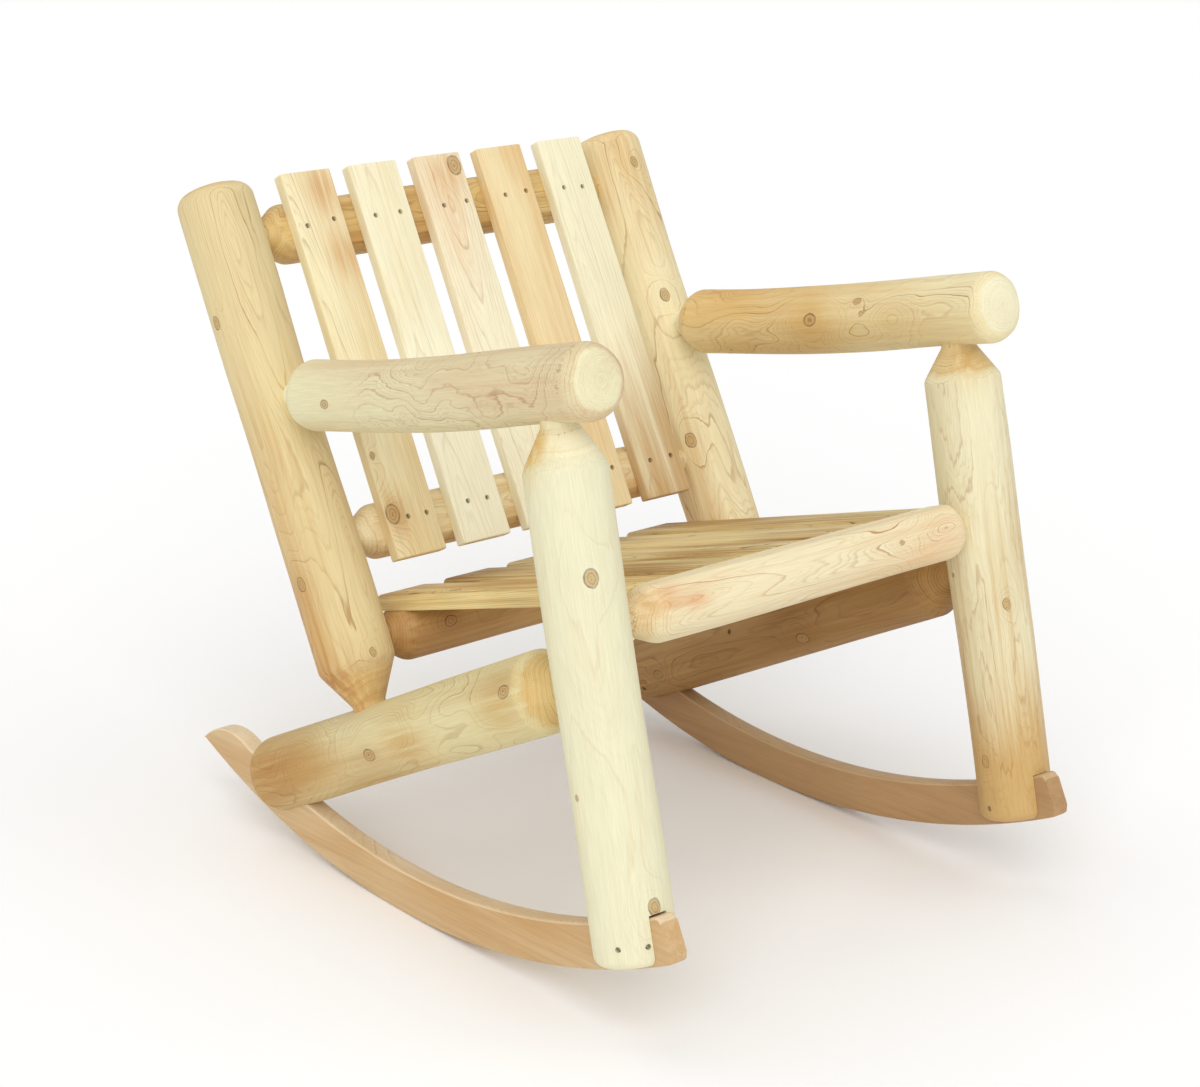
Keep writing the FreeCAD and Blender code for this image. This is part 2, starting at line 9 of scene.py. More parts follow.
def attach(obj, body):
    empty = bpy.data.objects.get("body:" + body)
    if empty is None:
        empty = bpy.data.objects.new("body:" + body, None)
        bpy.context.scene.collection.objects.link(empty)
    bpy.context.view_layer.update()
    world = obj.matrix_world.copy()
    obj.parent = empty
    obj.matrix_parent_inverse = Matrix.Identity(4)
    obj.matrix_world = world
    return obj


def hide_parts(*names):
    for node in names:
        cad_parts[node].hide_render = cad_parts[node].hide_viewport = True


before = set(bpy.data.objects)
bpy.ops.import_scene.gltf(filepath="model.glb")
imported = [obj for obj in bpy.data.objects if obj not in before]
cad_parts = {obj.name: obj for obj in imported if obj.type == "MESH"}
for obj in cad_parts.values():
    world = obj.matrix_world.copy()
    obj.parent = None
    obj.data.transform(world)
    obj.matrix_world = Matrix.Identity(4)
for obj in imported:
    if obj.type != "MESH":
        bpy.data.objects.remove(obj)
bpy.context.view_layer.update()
print("frame loaded,", len(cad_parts), "nodes")

# metres and degrees, in the side view as drawn, before the chair settles on its rockers
chair = {
    "half": 0.3365, "knee": (0.0895, 0.2139), "rearLean": 27.06, "sideRise": 25.73,
    "sideSpan": 0.4652, "frontLean": 12.46, "restTilt": 2.445, "shift": 0.029706,
    "rockerRadius": 1.1056, "rockerDepth": 0.0575, "rockerThick": 0.026,
    "armLevel": 0.466, "armHeight": {"right": 0.342, "left": 0.335},
    "topRail": 0.6775, "lowRail": 0.2662, "seatRail": 0.1315, "frontLog": 0.0554,
    "seatOnRail": 0.0276, "seatOverLog": 0.0329, "seatThick": 0.021, "seatLip": 0.018,
    "backUp": 0.2182, "backFace": 0.045, "backThick": 0.017, "backLength": 0.5285,
    "backWidth": 0.079, "seatWidth": 0.084, "pitch": 0.1088, "seatOverhang": 0.036,
    "armOverhang": 0.084,
}
sides = {"right": -1, "left": 1}
frameX = {word: side * chair["half"] for word, side in sides.items()}
anyPhase = 6.28


def turnX(degrees):
    # a turn about the chair's width
    return Matrix.Rotation(radians(degrees), 4, "X")


def along(point, distance, lean):
    # the point plus distance times the lean's sine and cosine, in the side view
    return (point[0] + distance * sin(radians(lean)),
            point[1] + distance * cos(radians(lean)))


# the drawn chair tilts about the middle of its rockers' arc, then moves over its footprint
settle = (Matrix.Translation((0, chair["shift"], chair["rockerRadius"]))
          @ turnX(-chair["restTilt"]) @ Matrix.Translation((0, 0, -chair["rockerRadius"])))
acrossChair = Matrix(((0, 0, 1, 0), (1, 0, 0, 0), (0, 1, 0, 0), (0, 0, 0, 1)))


def placeOf(x, point, turn, across=False):
    # settle, a move and a turn; local z runs along the log, and across lays it crosswise
    place = settle @ Matrix.Translation((x, point[0], point[1])) @ turnX(turn)
    return place @ acrossChair if across else place


knee = chair["knee"]
crossing = along(knee, chair["sideSpan"], chair["sideRise"] - 90)
seatRailPoint = along(knee, chair["seatRail"], chair["rearLean"])
frontLogPoint = along(crossing, chair["frontLog"], chair["frontLean"])
armRear = along(knee, chair["armLevel"], chair["rearLean"])
armFront = {word: along(crossing, chair["armHeight"][word], chair["frontLean"]) for word in sides}
armRise = {word: math.degrees(math.atan2(armFront[word][1] - armRear[1],
                                         armRear[0] - armFront[word][0])) for word in sides}
armChord = {word: math.dist(armFront[word], armRear) for word in sides}

# the seat's slope is its rails' own, less the angle whose sine is its drop over their distance
seatRun = seatRailPoint[0] - frontLogPoint[0]
seatClimb = frontLogPoint[1] - seatRailPoint[1]
seatSpan = math.hypot(seatRun, seatClimb)
seatDrop = chair["seatOnRail"] - chair["seatOverLog"] + chair["seatThick"]
seatRise = math.degrees(math.atan2(seatClimb, seatRun) - math.asin(seatDrop / seatSpan))
seatReach = math.sqrt(seatSpan ** 2 - seatDrop ** 2)
seatPlace = placeOf(0, along(seatRailPoint, chair["seatOnRail"], seatRise), -seatRise)
backStart = along(knee, chair["backUp"], chair["rearLean"])
backStart = along(backStart, chair["backFace"], chair["rearLean"] - 90)
backPlace = placeOf(0, backStart, -chair["rearLean"])
print("drawing ready, seat rises", round(seatRise, 2))


def toWorld(place, points):
    # each point turned as the place is, plus where the place is
    return points @ np.array(place.to_3x3()).T + np.array(place.translation)


def outward(points, quads, tris):
    # the volume is the sum of a dot (b cross c) over the triangles; if negative, faces turn round
    corners = np.concatenate([tris, quads[:, [0, 1, 2]], quads[:, [0, 2, 3]]])
    a, b, c = (points - points.mean(0))[corners.T]
    if np.einsum("ij,ij->i", a, np.cross(b, c)).sum() < 0:
        quads, tris = quads[:, ::-1], tris[:, ::-1]
    return points, quads, tris


def gridPart(rings):
    # point j of row i meets j + 1 and both of row i + 1; a fan about its middle closes each end
    rows, columns = rings.shape[:2]
    points = np.concatenate([rings.reshape(-1, 3), rings[0].mean(0)[None], rings[-1].mean(0)[None]])
    i, j = np.meshgrid(np.arange(rows - 1), np.arange(columns), indexing="ij")
    near, far = i * columns + j, i * columns + (j + 1) % columns
    quads = np.stack([near, far, far + columns, near + columns], -1).reshape(-1, 4)
    j = np.arange(columns)
    after = (j + 1) % columns
    last = (rows - 1) * columns
    tris = np.concatenate([
        np.stack([after, j, np.full(columns, rows * columns)], -1),
        np.stack([last + j, last + after, np.full(columns, rows * columns + 1)], -1)])
    return outward(points, quads, tris)


def placedGrid(place, rings):
    # rings drawn in the place's own frame, moved to the world and skinned
    return gridPart(toWorld(place, rings.reshape(-1, 3)).reshape(rings.shape))


def joined(name, parts):
    # all parts in one mesh, each part's corners counted on from the last
    points, faces, start = [], [], 0
    for part, quads, tris in parts:
        points.append(part)
        faces += (quads + start).tolist() + (tris + start).tolist()
        start += len(part)
    mesh = bpy.data.meshes.new(name)
    mesh.from_pydata(np.concatenate(points).tolist(), [], faces)
    mesh.update()
    piece = bpy.data.objects.new(name, mesh)
    bpy.context.scene.collection.objects.link(piece)
    return piece


def keep(piece, materials, nodes=(), sharpest=38):
    # soft shading except where faces meet at more than the angle, then finish, body and solids
    for material in materials:
        piece.data.materials.append(material)
    piece.data.polygons.foreach_set("use_smooth", np.ones(len(piece.data.polygons), bool))
    piece.data.set_sharp_from_angle(angle=radians(sharpest))
    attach(piece, "root")
    if nodes:
        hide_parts(*nodes)


def cutAway(piece, cutters):
    # the piece less each cutter, kept as the piece's own mesh
    for cutter in cutters:
        cut = piece.modifiers.new("Cut", "BOOLEAN")
        cut.operation = "DIFFERENCE"
        cut.solver = "EXACT"
        cut.object = cutter
    bpy.context.view_layer.update()
    shown = piece.evaluated_get(bpy.context.evaluated_depsgraph_get())
    mesh = bpy.data.meshes.new_from_object(shown)
    old = piece.data
    piece.modifiers.clear()
    piece.data = mesh
    bpy.data.meshes.remove(old)
    for cutter in cutters:
        bpy.data.objects.remove(cutter)


# screws at the bottom of short bores, local z out of the wood; the dome is circles of these shares
# of the head's radius, each so far below its top
screw = {"bore": 0.0036, "head": 0.0027, "sunk": 0.0034, "deep": 0.008, "over": 0.004,
         "shares": [1, 1, 0.93, 0.75, 0.6, 0.45, 0.3, 0.15],
         "drops": [0.0025, 0.0005, 0.0002, 0.0001, 0.00005, 0.00002, 0, 0],
         "slot": 0.0006, "slotDeep": 0.0012, "slotEnd": 0.7, "mostTurn": 3}


def turned(radii, heights, around=20):
    # a circle of each radius at its height: x is r times cosine, y is r times sine
    angle = np.linspace(0, 2 * pi, around, endpoint=False)
    r, z = np.array(radii)[:, None], np.array(heights)[:, None]
    return np.stack([r * np.cos(angle), r * np.sin(angle), z + 0 * angle], -1)


def screwBores(name, places):
    # a plain cylinder at each place, from inside the wood to over its skin
    rings = turned([screw["bore"]] * 2, [-screw["deep"], screw["over"]])
    return joined(name, [placedGrid(place, rings) for place in places])


def screwHeads(name, places):
    # a low dome with a cross sunk where x or y is less than the slot's half width, each turned
    rng = np.random.default_rng(len(places))
    shares = np.array(screw["shares"])
    rings = turned(screw["head"] * shares, -screw["sunk"] - np.array(screw["drops"]), 24)
    narrow = np.minimum(np.abs(rings[..., 0]), np.abs(rings[..., 1])) < screw["slot"]
    rings[..., 2] -= screw["slotDeep"] * (narrow & (shares < screw["slotEnd"])[:, None])
    turns = [Matrix.Rotation(rng.uniform(0, screw["mostTurn"]), 4, "Z") for place in places]
    return joined(name, [placedGrid(place @ turn, rings) for place, turn in zip(places, turns)])


def fibres(name, place, ring, seed):
    # torn slivers: three root points on a circle round local z, and a tip a random length away
    rng = np.random.default_rng(seed)
    count, each = ring["count"], (ring["count"], 1)
    a = rng.uniform(0, 2 * pi, count)
    out = np.stack([np.cos(a), np.sin(a), np.zeros(count)], -1)
    side = np.stack([-np.sin(a), np.cos(a), np.zeros(count)], -1)
    lift = np.array([0, 0, 1.0])
    root = out * (ring["radius"] + rng.uniform(-1, 1, each) * ring["spread"])
    root = root + lift * rng.uniform(*ring["roots"], each) * ring["spread"]
    length = ring["length"] * rng.uniform(*ring["lengths"], each) ** ring["power"]
    wide = ring["width"] * rng.uniform(*ring["widths"], each)
    aim = out * ring["flare"] + side * rng.normal(0, ring["stray"], each)
    aim = aim + lift * rng.uniform(*ring["tips"], each)
    tip = root + aim / np.linalg.norm(aim, axis=1, keepdims=True) * length
    points = np.stack([root + side * wide, root - side * wide, root + lift * wide, tip], 1)
    tris = np.array([(0, 1, 2), (0, 3, 1), (1, 3, 2), (2, 3, 0)])
    parts = [outward(points[n], np.zeros((0, 4), int), tris) for n in range(count)]
    return joined(name, [(toWorld(place, part[0]), part[1], part[2]) for part in parts])


def facing(place, spot, normal):
    # the place, moved to the spot and turned so that z points along the normal
    turn = Vector(normal).to_track_quat("Z", "Y").to_matrix().to_4x4()
    return place @ Matrix.Translation(spot) @ turn


def roundedLine(corners, spacing=0.004, arcSteps=9, fewest=8, closest=0.2):
    # (radius, height, rounding) corners become evenly spaced points; an arc's middle lies on its
    # corner's bisector, rounding over the sine of half that angle away
    line = []
    for index, (r, z, rounding) in enumerate(corners):
        here = np.array((r, z))
        if rounding == 0 or index in (0, len(corners) - 1):
            line.append(here[None])
            continue
        back = np.array(corners[index - 1][:2]) - here
        ahead = np.array(corners[index + 1][:2]) - here
        back, ahead = back / np.linalg.norm(back), ahead / np.linalg.norm(ahead)
        bend = np.arccos(np.clip(back @ ahead, -1, 1))
        reach = rounding / math.tan(bend / 2)
        bisector = (back + ahead) / np.linalg.norm(back + ahead)
        middle = here + bisector * rounding / sin(bend / 2)
        t = np.linspace(0, 1, arcSteps)[:, None]
        start, end = here + back * reach - middle, here + ahead * reach - middle
        arc = pi - bend
        swing = np.sin((1 - t) * arc) * start + np.sin(t * arc) * end
        line.append(middle + swing / sin(arc))
    line = np.concatenate(line)
    reach = np.concatenate([[0], np.cumsum(np.hypot(*np.diff(line, axis=0).T))])
    count = max(int(reach[-1] / spacing), fewest)
    even = np.union1d(np.linspace(0, reach[-1], count), reach)
    even = even[np.concatenate([[True], np.diff(even) > spacing * closest])]
    return np.stack([np.interp(even, reach, line[:, 0]), np.interp(even, reach, line[:, 1])], -1)


def bowAt(z, start, end, bow, frontSag, soft=0.035, steps=9):
    # 4 bow t (1 - t) + sag t between both ends, level beyond them, averaged over a short length
    total = 0
    for shift in np.linspace(-soft, soft, steps):
        t = np.clip((z + shift - start) / (end - start), 0, 1)
        total = total + (4 * bow * t * (1 - t) + frontSag * t) / steps
    return total


# waves round a log and along it, and a knot's swelling as shares of its size
skin = {"around": 96, "turns": (1, 2, 3, 4, 5, 9), "fall": 0.8, "twist": 9, "ringShare": 0.9,
        "ringTurns": (9, 16), "knotHigh": 0.11, "knotWide": 2.4, "knotLong": 0.7,
        "calm": 0.35, "calmOver": 0.5, "swayAcross": 0.6}


def logSkin(name, place, log):
    # radius is the outline's, plus cosines round and along the log, plus a bell at each knot, all
    # faded out on the thin tenons; the middle sways by two sines and follows the bow
    rng = np.random.default_rng(log["seed"])
    line = roundedLine(log["outline"])[1:-1]
    angle = np.linspace(0, 2 * pi, skin["around"], endpoint=False)
    r, z = line[:, :1], line[:, 1:]
    full = max(corner[0] for corner in log["outline"])
    body = np.clip((r / full - skin["calm"]) / skin["calmOver"], 0, 1)
    wave = np.zeros((len(line), skin["around"]))
    for turns in skin["turns"]:
        size = log["wave"] / turns ** skin["fall"] * rng.uniform(0.5, 1)
        bend = turns * angle + rng.uniform(0, anyPhase)
        wave += size * np.cos(bend + z * rng.uniform(-skin["twist"], skin["twist"]))
    rings = z * rng.uniform(*skin["ringTurns"])
    wave += log["wave"] * skin["ringShare"] * np.cos(rings + rng.uniform(0, anyPhase))
    for height, degrees, size in log["knots"]:
        side = (angle - radians(degrees) + pi) % (2 * pi) - pi
        gap = np.hypot(side * full, (z - height) * skin["knotLong"])
        wave += skin["knotHigh"] * size * np.exp(-(gap / (size * skin["knotWide"])) ** 2)
    radius = np.minimum(r + wave * body, log.get("limit", 1))
    share = (z - z.min()) / (z.max() - z.min())
    swing = np.sin(share * pi * 2 + rng.uniform(0, anyPhase))
    sway = log["sway"] * swing * np.sin(share * pi)
    x = radius * np.cos(angle) + sway
    y = radius * np.sin(angle) - sway * skin["swayAcross"]
    if "bow" in log:
        y = y - bowAt(z, *log["bow"])
    for axis, level, sign in log.get("flats", []):
        cut = np.maximum if sign > 0 else np.minimum
        x, y = (cut(x, level), y) if axis == "x" else (x, cut(y, level))
    if "ledge" in log:
        lip, level, reach = log["ledge"]
        y = np.where((x > lip) & (np.abs(z) < reach), np.minimum(y, level), y)
    rings = np.stack([x, y, np.broadcast_to(z, x.shape)], -1)
    return joined(name, [placedGrid(place, rings)])


def sectionLoop(steps=5):
    # a board's section of four quarter circles: side, low or high face, 1 - sine and 1 - cosine
    rows = []
    for side, high in ((1, 0), (1, 1), (-1, 1), (-1, 0)):
        t = np.linspace(0, pi / 2, steps)
        if (side > 0) == (high > 0):
            t = t[::-1]
        rows.append(np.stack([np.full(steps, side), np.full(steps, high),
                              1 - np.sin(t), 1 - np.cos(t)]))
    return np.concatenate(rows, axis=1)


def linear(text):
    # screen colour v to light: v / 12.92 up to 0.04045, else (v + 0.055) / 1.055 to the power 2.4
    values = [int(text[n:n + 2], 16) / 255 for n in (0, 2, 4)]
    return [v / 12.92 if v <= 0.04045 else ((v + 0.055) / 1.055) ** 2.4 for v in values] + [1]


def addNode(tree, kind, inputs=None, **values):
    # a node with its settings, and each input linked to a wire or set to a number
    node = tree.nodes.new(kind)
    for key, value in values.items():
        setattr(node, key, value)
    for key, value in (inputs or {}).items():
        if isinstance(value, wire):
            value.into(node.inputs[key])
        else:
            node.inputs[key].default_value = value
    return node


class wire:
    # a node's output; + - * and / on it add a Math node each, so that a shader reads as a formula
    def __init__(self, socket):
        self.socket = socket

    def into(self, socket):
        # a link from here to the socket
        self.socket.id_data.links.new(self.socket, socket)

    def node(self, kind, inputs, output=0, **values):
        # the output of one more node in the same tree
        return wire(addNode(self.socket.id_data, kind, inputs, **values).outputs[output])

    def maths(self, operation, other=0.0):
        # the operation on this number and the other
        return self.node("ShaderNodeMath", {0: self, 1: other}, operation=operation)

    __add__ = __radd__ = partialmethod(maths, "ADD")
    __sub__ = partialmethod(maths, "SUBTRACT")
    __mul__ = partialmethod(maths, "MULTIPLY")
    __truediv__ = partialmethod(maths, "DIVIDE")


def most(values):
    # the largest of the wires
    return reduce(lambda largest, other: largest.maths("MAXIMUM", other), values)


def step(value, low, high, first=0.0, last=1.0):
    # first below low, last above high, and 3 t t - 2 t t t in between
    return value.node("ShaderNodeMapRange", {0: value, 1: low, 2: high, 3: first, 4: last},
                      interpolation_type="SMOOTHSTEP")


def vectors(operation, first, second):
    # the operation on two vectors, such as adding them
    return first.node("ShaderNodeVectorMath", {0: first, 1: second}, operation=operation)


def noise(place, scale, seed, detail=2.0, roughness=0.5):
    # soft noise at the place times scale (waves to the metre on each axis) plus seed
    shift = place.node("ShaderNodeCombineXYZ", {0: seed, 1: seed, 2: seed})
    moved = vectors("ADD", vectors("MULTIPLY", place, scale), shift)
    return place.node("ShaderNodeTexNoise", {"Vector": moved, "Scale": 1.0, "Detail": detail,
                                             "Roughness": roughness})


def mixColor(share, first, second, blend="MIX"):
    # first times (1 - share), plus share times the second or the product of both
    return share.node("ShaderNodeMix", {0: share, 6: first, 7: second}, 2, data_type="RGBA",
                      blend_type=blend)


def newGroup(name, inputs, outputs):
    # an empty node group with sockets named by kind: its inputs as wires, and its output sockets
    tree = bpy.data.node_groups.new(name, "ShaderNodeTree")
    for way, sockets in (("INPUT", inputs), ("OUTPUT", outputs)):
        for kind, labels in sockets.items():
            for label in labels.split():
                tree.interface.new_socket(label, in_out=way, socket_type="NodeSocket" + kind)
    given = tree.nodes.new("NodeGroupInput").outputs
    made = tree.nodes.new("NodeGroupOutput").inputs
    return tree, {socket.name: wire(socket) for socket in given}, made


# noises as waves to the metre across and along the log, how much each one does, and ranges for step
grain = {
    "quick": (55, 55, 11), "quickBend": 0.0022, "jag": (240, 240, 34), "patch": (22, 22, 6),
    "lead": 0.28, "leadPower": 3.0, "lateWood": 0.72, "late": (0.8, 0.93), "fall": (0.95, 1.0),
    "finePerRing": 3.0, "fine": (0.55, 0.95, 0.0, 0.3), "luckPower": 1.5, "luckLeast": 0.25,
    "startSoft": 12.0, "tone": (8, 8, 2.4), "toneWarmth": 2.2, "streak": (140, 140, 3.0),
    "fibre": (700, 700, 24), "bulgeWarmth": 8.0, "cutJag": 0.010,
    "cut": (-0.006, 0.0, 0.8, 0.0), "yearBand": 0.45, "years": (0.4, 0.68),
    "aged": (0.4, 1.1, 0.0, 0.5), "faded": (0.3, 0.62, 0.3, 1.0), "fineFaded": (0.35, 0.7),
    "bright": (0.25, 0.75, 0.93, 1.04), "height": 0.5,
}


def makeWoodGroup():
    # turn = (radius + noises + bulge) / gap counts the rings round the heart line, so that any cut
    # through the wood shows their contour lines; a ring darkens slowly with the cube of its share,
    # then in a late line, and is gone at once
    tree, given, made = newGroup(
        "woodRings", {
            "Vector": "Place", "Color": "Pale Warm Line Cut",
            "Float": "Seed Bulge Gap Swell Across Along Warmth Slope Lines Outer Jag Start Streak "
                     "Ends Bands"}, {"Color": "Color", "Float": "Height"})
    place, seed = given["Place"], given["Seed"]
    x, y, z = (place.node("ShaderNodeSeparateXYZ", {0: place}, axis) for axis in range(3))
    radius = (x * x + y * y).maths("SQRT")
    reach = {0: given["Across"], 1: given["Across"], 2: given["Along"]}
    slow = noise(place, place.node("ShaderNodeCombineXYZ", reach), seed, 1.5)
    quick = noise(place, grain["quick"], seed) - 0.5
    jag = noise(place, grain["jag"], seed, 1.5)
    depth = (radius + (slow - 0.5) * given["Swell"] + quick * grain["quickBend"]
             + (jag - 0.5) * given["Jag"] + given["Bulge"])
    turn = depth / given["Gap"]
    share = turn.maths("FRACT")

    # the ring's darkness, with each year's own luck, fainter patches and finer lines between
    ring = (share.maths("POWER", grain["leadPower"]) * grain["lead"]
            + step(share, *grain["late"]) * grain["lateWood"])
    luck = place.node("ShaderNodeTexWhiteNoise", {"W": turn.maths("FLOOR") + seed},
                      noise_dimensions="1D")
    luck = luck.maths("POWER", grain["luckPower"]) * (1 - grain["luckLeast"]) + grain["luckLeast"]
    patch = noise(place, grain["patch"], seed + 7.0, 1.0)
    fine = step((turn * grain["finePerRing"]).maths("FRACT"), *grain["fine"])
    ring = ring * step(share, *grain["fall"], 1.0, 0.0) * luck * step(patch, *grain["faded"])
    ring = most([ring, fine * step(patch, *grain["fineFaded"])]) * given["Lines"]
    ring = ring * step((z - given["Start"]) * grain["startSoft"], -0.5, 0.5)

    # pale to warm wood: warmth + tone + streaks + slope times z + bulge
    tone = noise(place, grain["tone"], seed + 3.0)
    streak = noise(place, grain["streak"], seed + 5.0)
    warmth = (given["Warmth"] + (tone - 0.5) * grain["toneWarmth"]
              + (streak - 0.5) * given["Streak"] + z * given["Slope"]
              + given["Bulge"] * grain["bulgeWarmth"])
    base = mixColor(step(warmth, 0.0, 1.0), given["Pale"], given["Warm"])

    # cones and ends lie nearer the heart than the outer skin: another colour, bands of years, and
    # rings times 1 + ends
    cut = step(radius - given["Outer"] + quick * grain["cutJag"], *grain["cut"])
    years = place.node("ShaderNodeTexNoise", {
        "W": turn * grain["yearBand"], "Scale": 1.0, "Detail": 1.0}, noise_dimensions="1D")
    aged = step(warmth, *grain["aged"]) + step(years, *grain["years"]) * given["Bands"]
    base = mixColor(cut, base, mixColor(aged, given["Cut"], given["Warm"]))
    ring = (ring * (cut * given["Ends"] + 1.0)).maths("MINIMUM", 1.0)
    base = mixColor(ring, base, given["Line"])
    fibre = noise(place, grain["fibre"], seed, 2.0, 0.6)
    bright = step(fibre, *grain["bright"])
    shade = base.node("ShaderNodeVectorMath", {0: base, "Scale": bright}, operation="SCALE")
    shade.into(made["Color"])
    (fibre * grain["height"] - ring * grain["height"]).into(made["Height"])
    return tree


# a knot: noises that make it uneven, how oval it is, and its parts as shares of its size
knotShape = {
    "wobble": (90, 90, 60), "wobbleBy": 0.005, "fine": (420, 420, 420), "fineBy": 0.0012,
    "oval": (1, 1, 0.78), "wide": 2.4, "lift": 1.5, "core": (0.8, 1.0), "rimIn": (0.8, 0.98),
    "rimOut": (0.99, 1.14), "rimGaps": (-0.15, 0.1, 0.6, 1.0), "bandIn": (0.4, 0.5),
    "bandOut": (0.52, 0.62, 0.45, 0.0), "eye": (0.05, 0.35), "eyeGaps": (-0.1, 0.1),
}


def makeKnotGroup():
    # share = distance from the knot's heart over its size; the rings are lifted by a bell,
    # 1.5 size times e to the minus (share / 2.4) squared, and the share marks core, rim and eye
    tree, given, made = newGroup("knot", {"Vector": "Place Centre", "Float": "Size"},
                                 {"Float": "Bulge Core Rim"})
    gap = vectors("SUBTRACT", given["Place"], given["Centre"])
    wobble = noise(gap, knotShape["wobble"], 4.0, 1.0) - 0.5
    fine = noise(gap, knotShape["fine"], 2.0, 1.0) - 0.5
    oval = vectors("MULTIPLY", gap, knotShape["oval"])
    gap = gap.node("ShaderNodeVectorMath", {0: oval}, "Value", operation="LENGTH")
    gap = gap + wobble * knotShape["wobbleBy"] + fine * knotShape["fineBy"]
    share = gap / given["Size"]
    wide = share / knotShape["wide"]
    bell = (wide * wide * -1.0).maths("EXPONENT")
    (bell * (given["Size"] * knotShape["lift"])).into(made["Bulge"])
    step(share, *knotShape["core"], 1.0, 0.0).into(made["Core"])
    rim = step(share, *knotShape["rimIn"]) * step(share, *knotShape["rimOut"], 1.0, 0.0)
    rim = rim * step(wobble, *knotShape["rimGaps"])
    band = step(share, *knotShape["bandIn"]) * step(share, *knotShape["bandOut"])
    eye = step(share, *knotShape["eye"], 1.0, 0.0) * step(fine, *knotShape["eyeGaps"])
    most([rim, band, eye]).into(made["Rim"])
    return tree


woodGroup, knotGroup = makeWoodGroup(), makeKnotGroup()


def newMaterial(name):
    # a material with nodes, and its shader
    material = bpy.data.materials.new(name)
    material.use_nodes = True
    nodes = material.node_tree.nodes
    return material, next(node for node in nodes if node.type == "BSDF_PRINCIPLED")


def onObject(material):
    # the object's own coordinates
    return wire(addNode(material.node_tree, "ShaderNodeTexCoord").outputs["Object"])


def makeScrewFinish():
    # two greys and a roughness of 0.25 to 0.5, both by one fine noise
    material, shader = newMaterial("screwMetal")
    wear = noise(onObject(material), (900, 900, 900), 1.0)
    mixColor(wear, linear("8f8c84"), linear("e6e3da")).into(shader.inputs["Base Color"])
    step(wear, 0.2, 0.8, 0.25, 0.5).into(shader.inputs["Roughness"])
    shader.inputs["Metallic"].default_value = 1.0
    return material


screwFinish = makeScrewFinish()


def knotAt(local, centre, size):
    # the knot group, measured from the centre
    knot = addNode(local.socket.id_data, "ShaderNodeGroup", node_tree=knotGroup, inputs={
        "Place": local, "Centre": centre, "Size": size})
    return {socket.name: wire(socket) for socket in knot.outputs}


# what a wood has unless it says otherwise, and then what all woods share
plainWood = {"gap": 0.0026, "lines": 0.7, "slope": 0.0, "across": 12, "along": 2.6, "jag": 0.0005,
             "start": -9.0, "streak": 0.8, "ends": 0.9, "bands": 0.4, "core": "bf9c62",
             "rim": "5f4120", "rough": 0.6}
finish = {"stain": 0.42, "streaks": (120, 120, 7), "streaked": (0.3, 0.6, 0.35, 1.0),
          "core": 0.75, "rim": 0.85, "specular": 0.35, "bump": 0.35, "bumpDeep": 0.0006}


def woodFinish(name, place, wood, knots=(), swirls=(), stains=()):
    # the heart line is local z, so object coordinates are taken back through the place; knots and
    # swirls add their lifts, and a stain multiplies the colour by its tint, faded by its bell
    material, shader = newMaterial(name)
    wood = dict(plainWood, **wood)
    inverse, local = place.inverted(), onObject(material)
    local = local.node("ShaderNodeMapping", {"Vector": local, "Location": inverse.translation,
                                             "Rotation": inverse.to_euler("XYZ")})
    knots = [knotAt(local, *knot) for knot in knots]
    rings = addNode(material.node_tree, "ShaderNodeGroup", {"Place": local}, node_tree=woodGroup)
    for socket in rings.inputs:
        value = wood.get(socket.name.lower())
        if value is not None:
            socket.default_value = linear(value) if isinstance(value, str) else value
    lifts = [knot["Bulge"] for knot in knots]
    lifts += [knotAt(local, *swirl)["Bulge"] for swirl in swirls]
    if lifts:
        sum(lifts).into(rings.inputs["Bulge"])
    shade = wire(rings.outputs["Color"])
    streaks = step(noise(local, finish["streaks"], wood["seed"]), *finish["streaked"])
    for centre, size, tint in stains:
        share = knotAt(local, centre, size)["Bulge"] * (finish["stain"] / size) * streaks
        shade = mixColor(share, shade, linear(tint), "MULTIPLY")
    for part in ("core", "rim") if knots else ():
        share = most([knot[part.capitalize()] for knot in knots]) * finish[part]
        shade = mixColor(share, shade, linear(wood[part]))
    shade.into(shader.inputs["Base Color"])
    shader.inputs["Roughness"].default_value = wood["rough"]
    shader.inputs["Specular IOR Level"].default_value = finish["specular"]
    bump = local.node("ShaderNodeBump", {"Strength": finish["bump"], "Distance": finish["bumpDeep"],
                                         "Height": wire(rings.outputs["Height"])})
    bump.into(shader.inputs["Normal"])
    return material


def looks(colors, **others):
    # colours of sapwood, warmer patches, ring lines and cut faces, and the rest by name: the gap
    # between rings, how far slow noise swells them, and its waves to the metre across and along
    return dict(zip(("pale", "warm", "line", "cut"), colors.split()), **others)


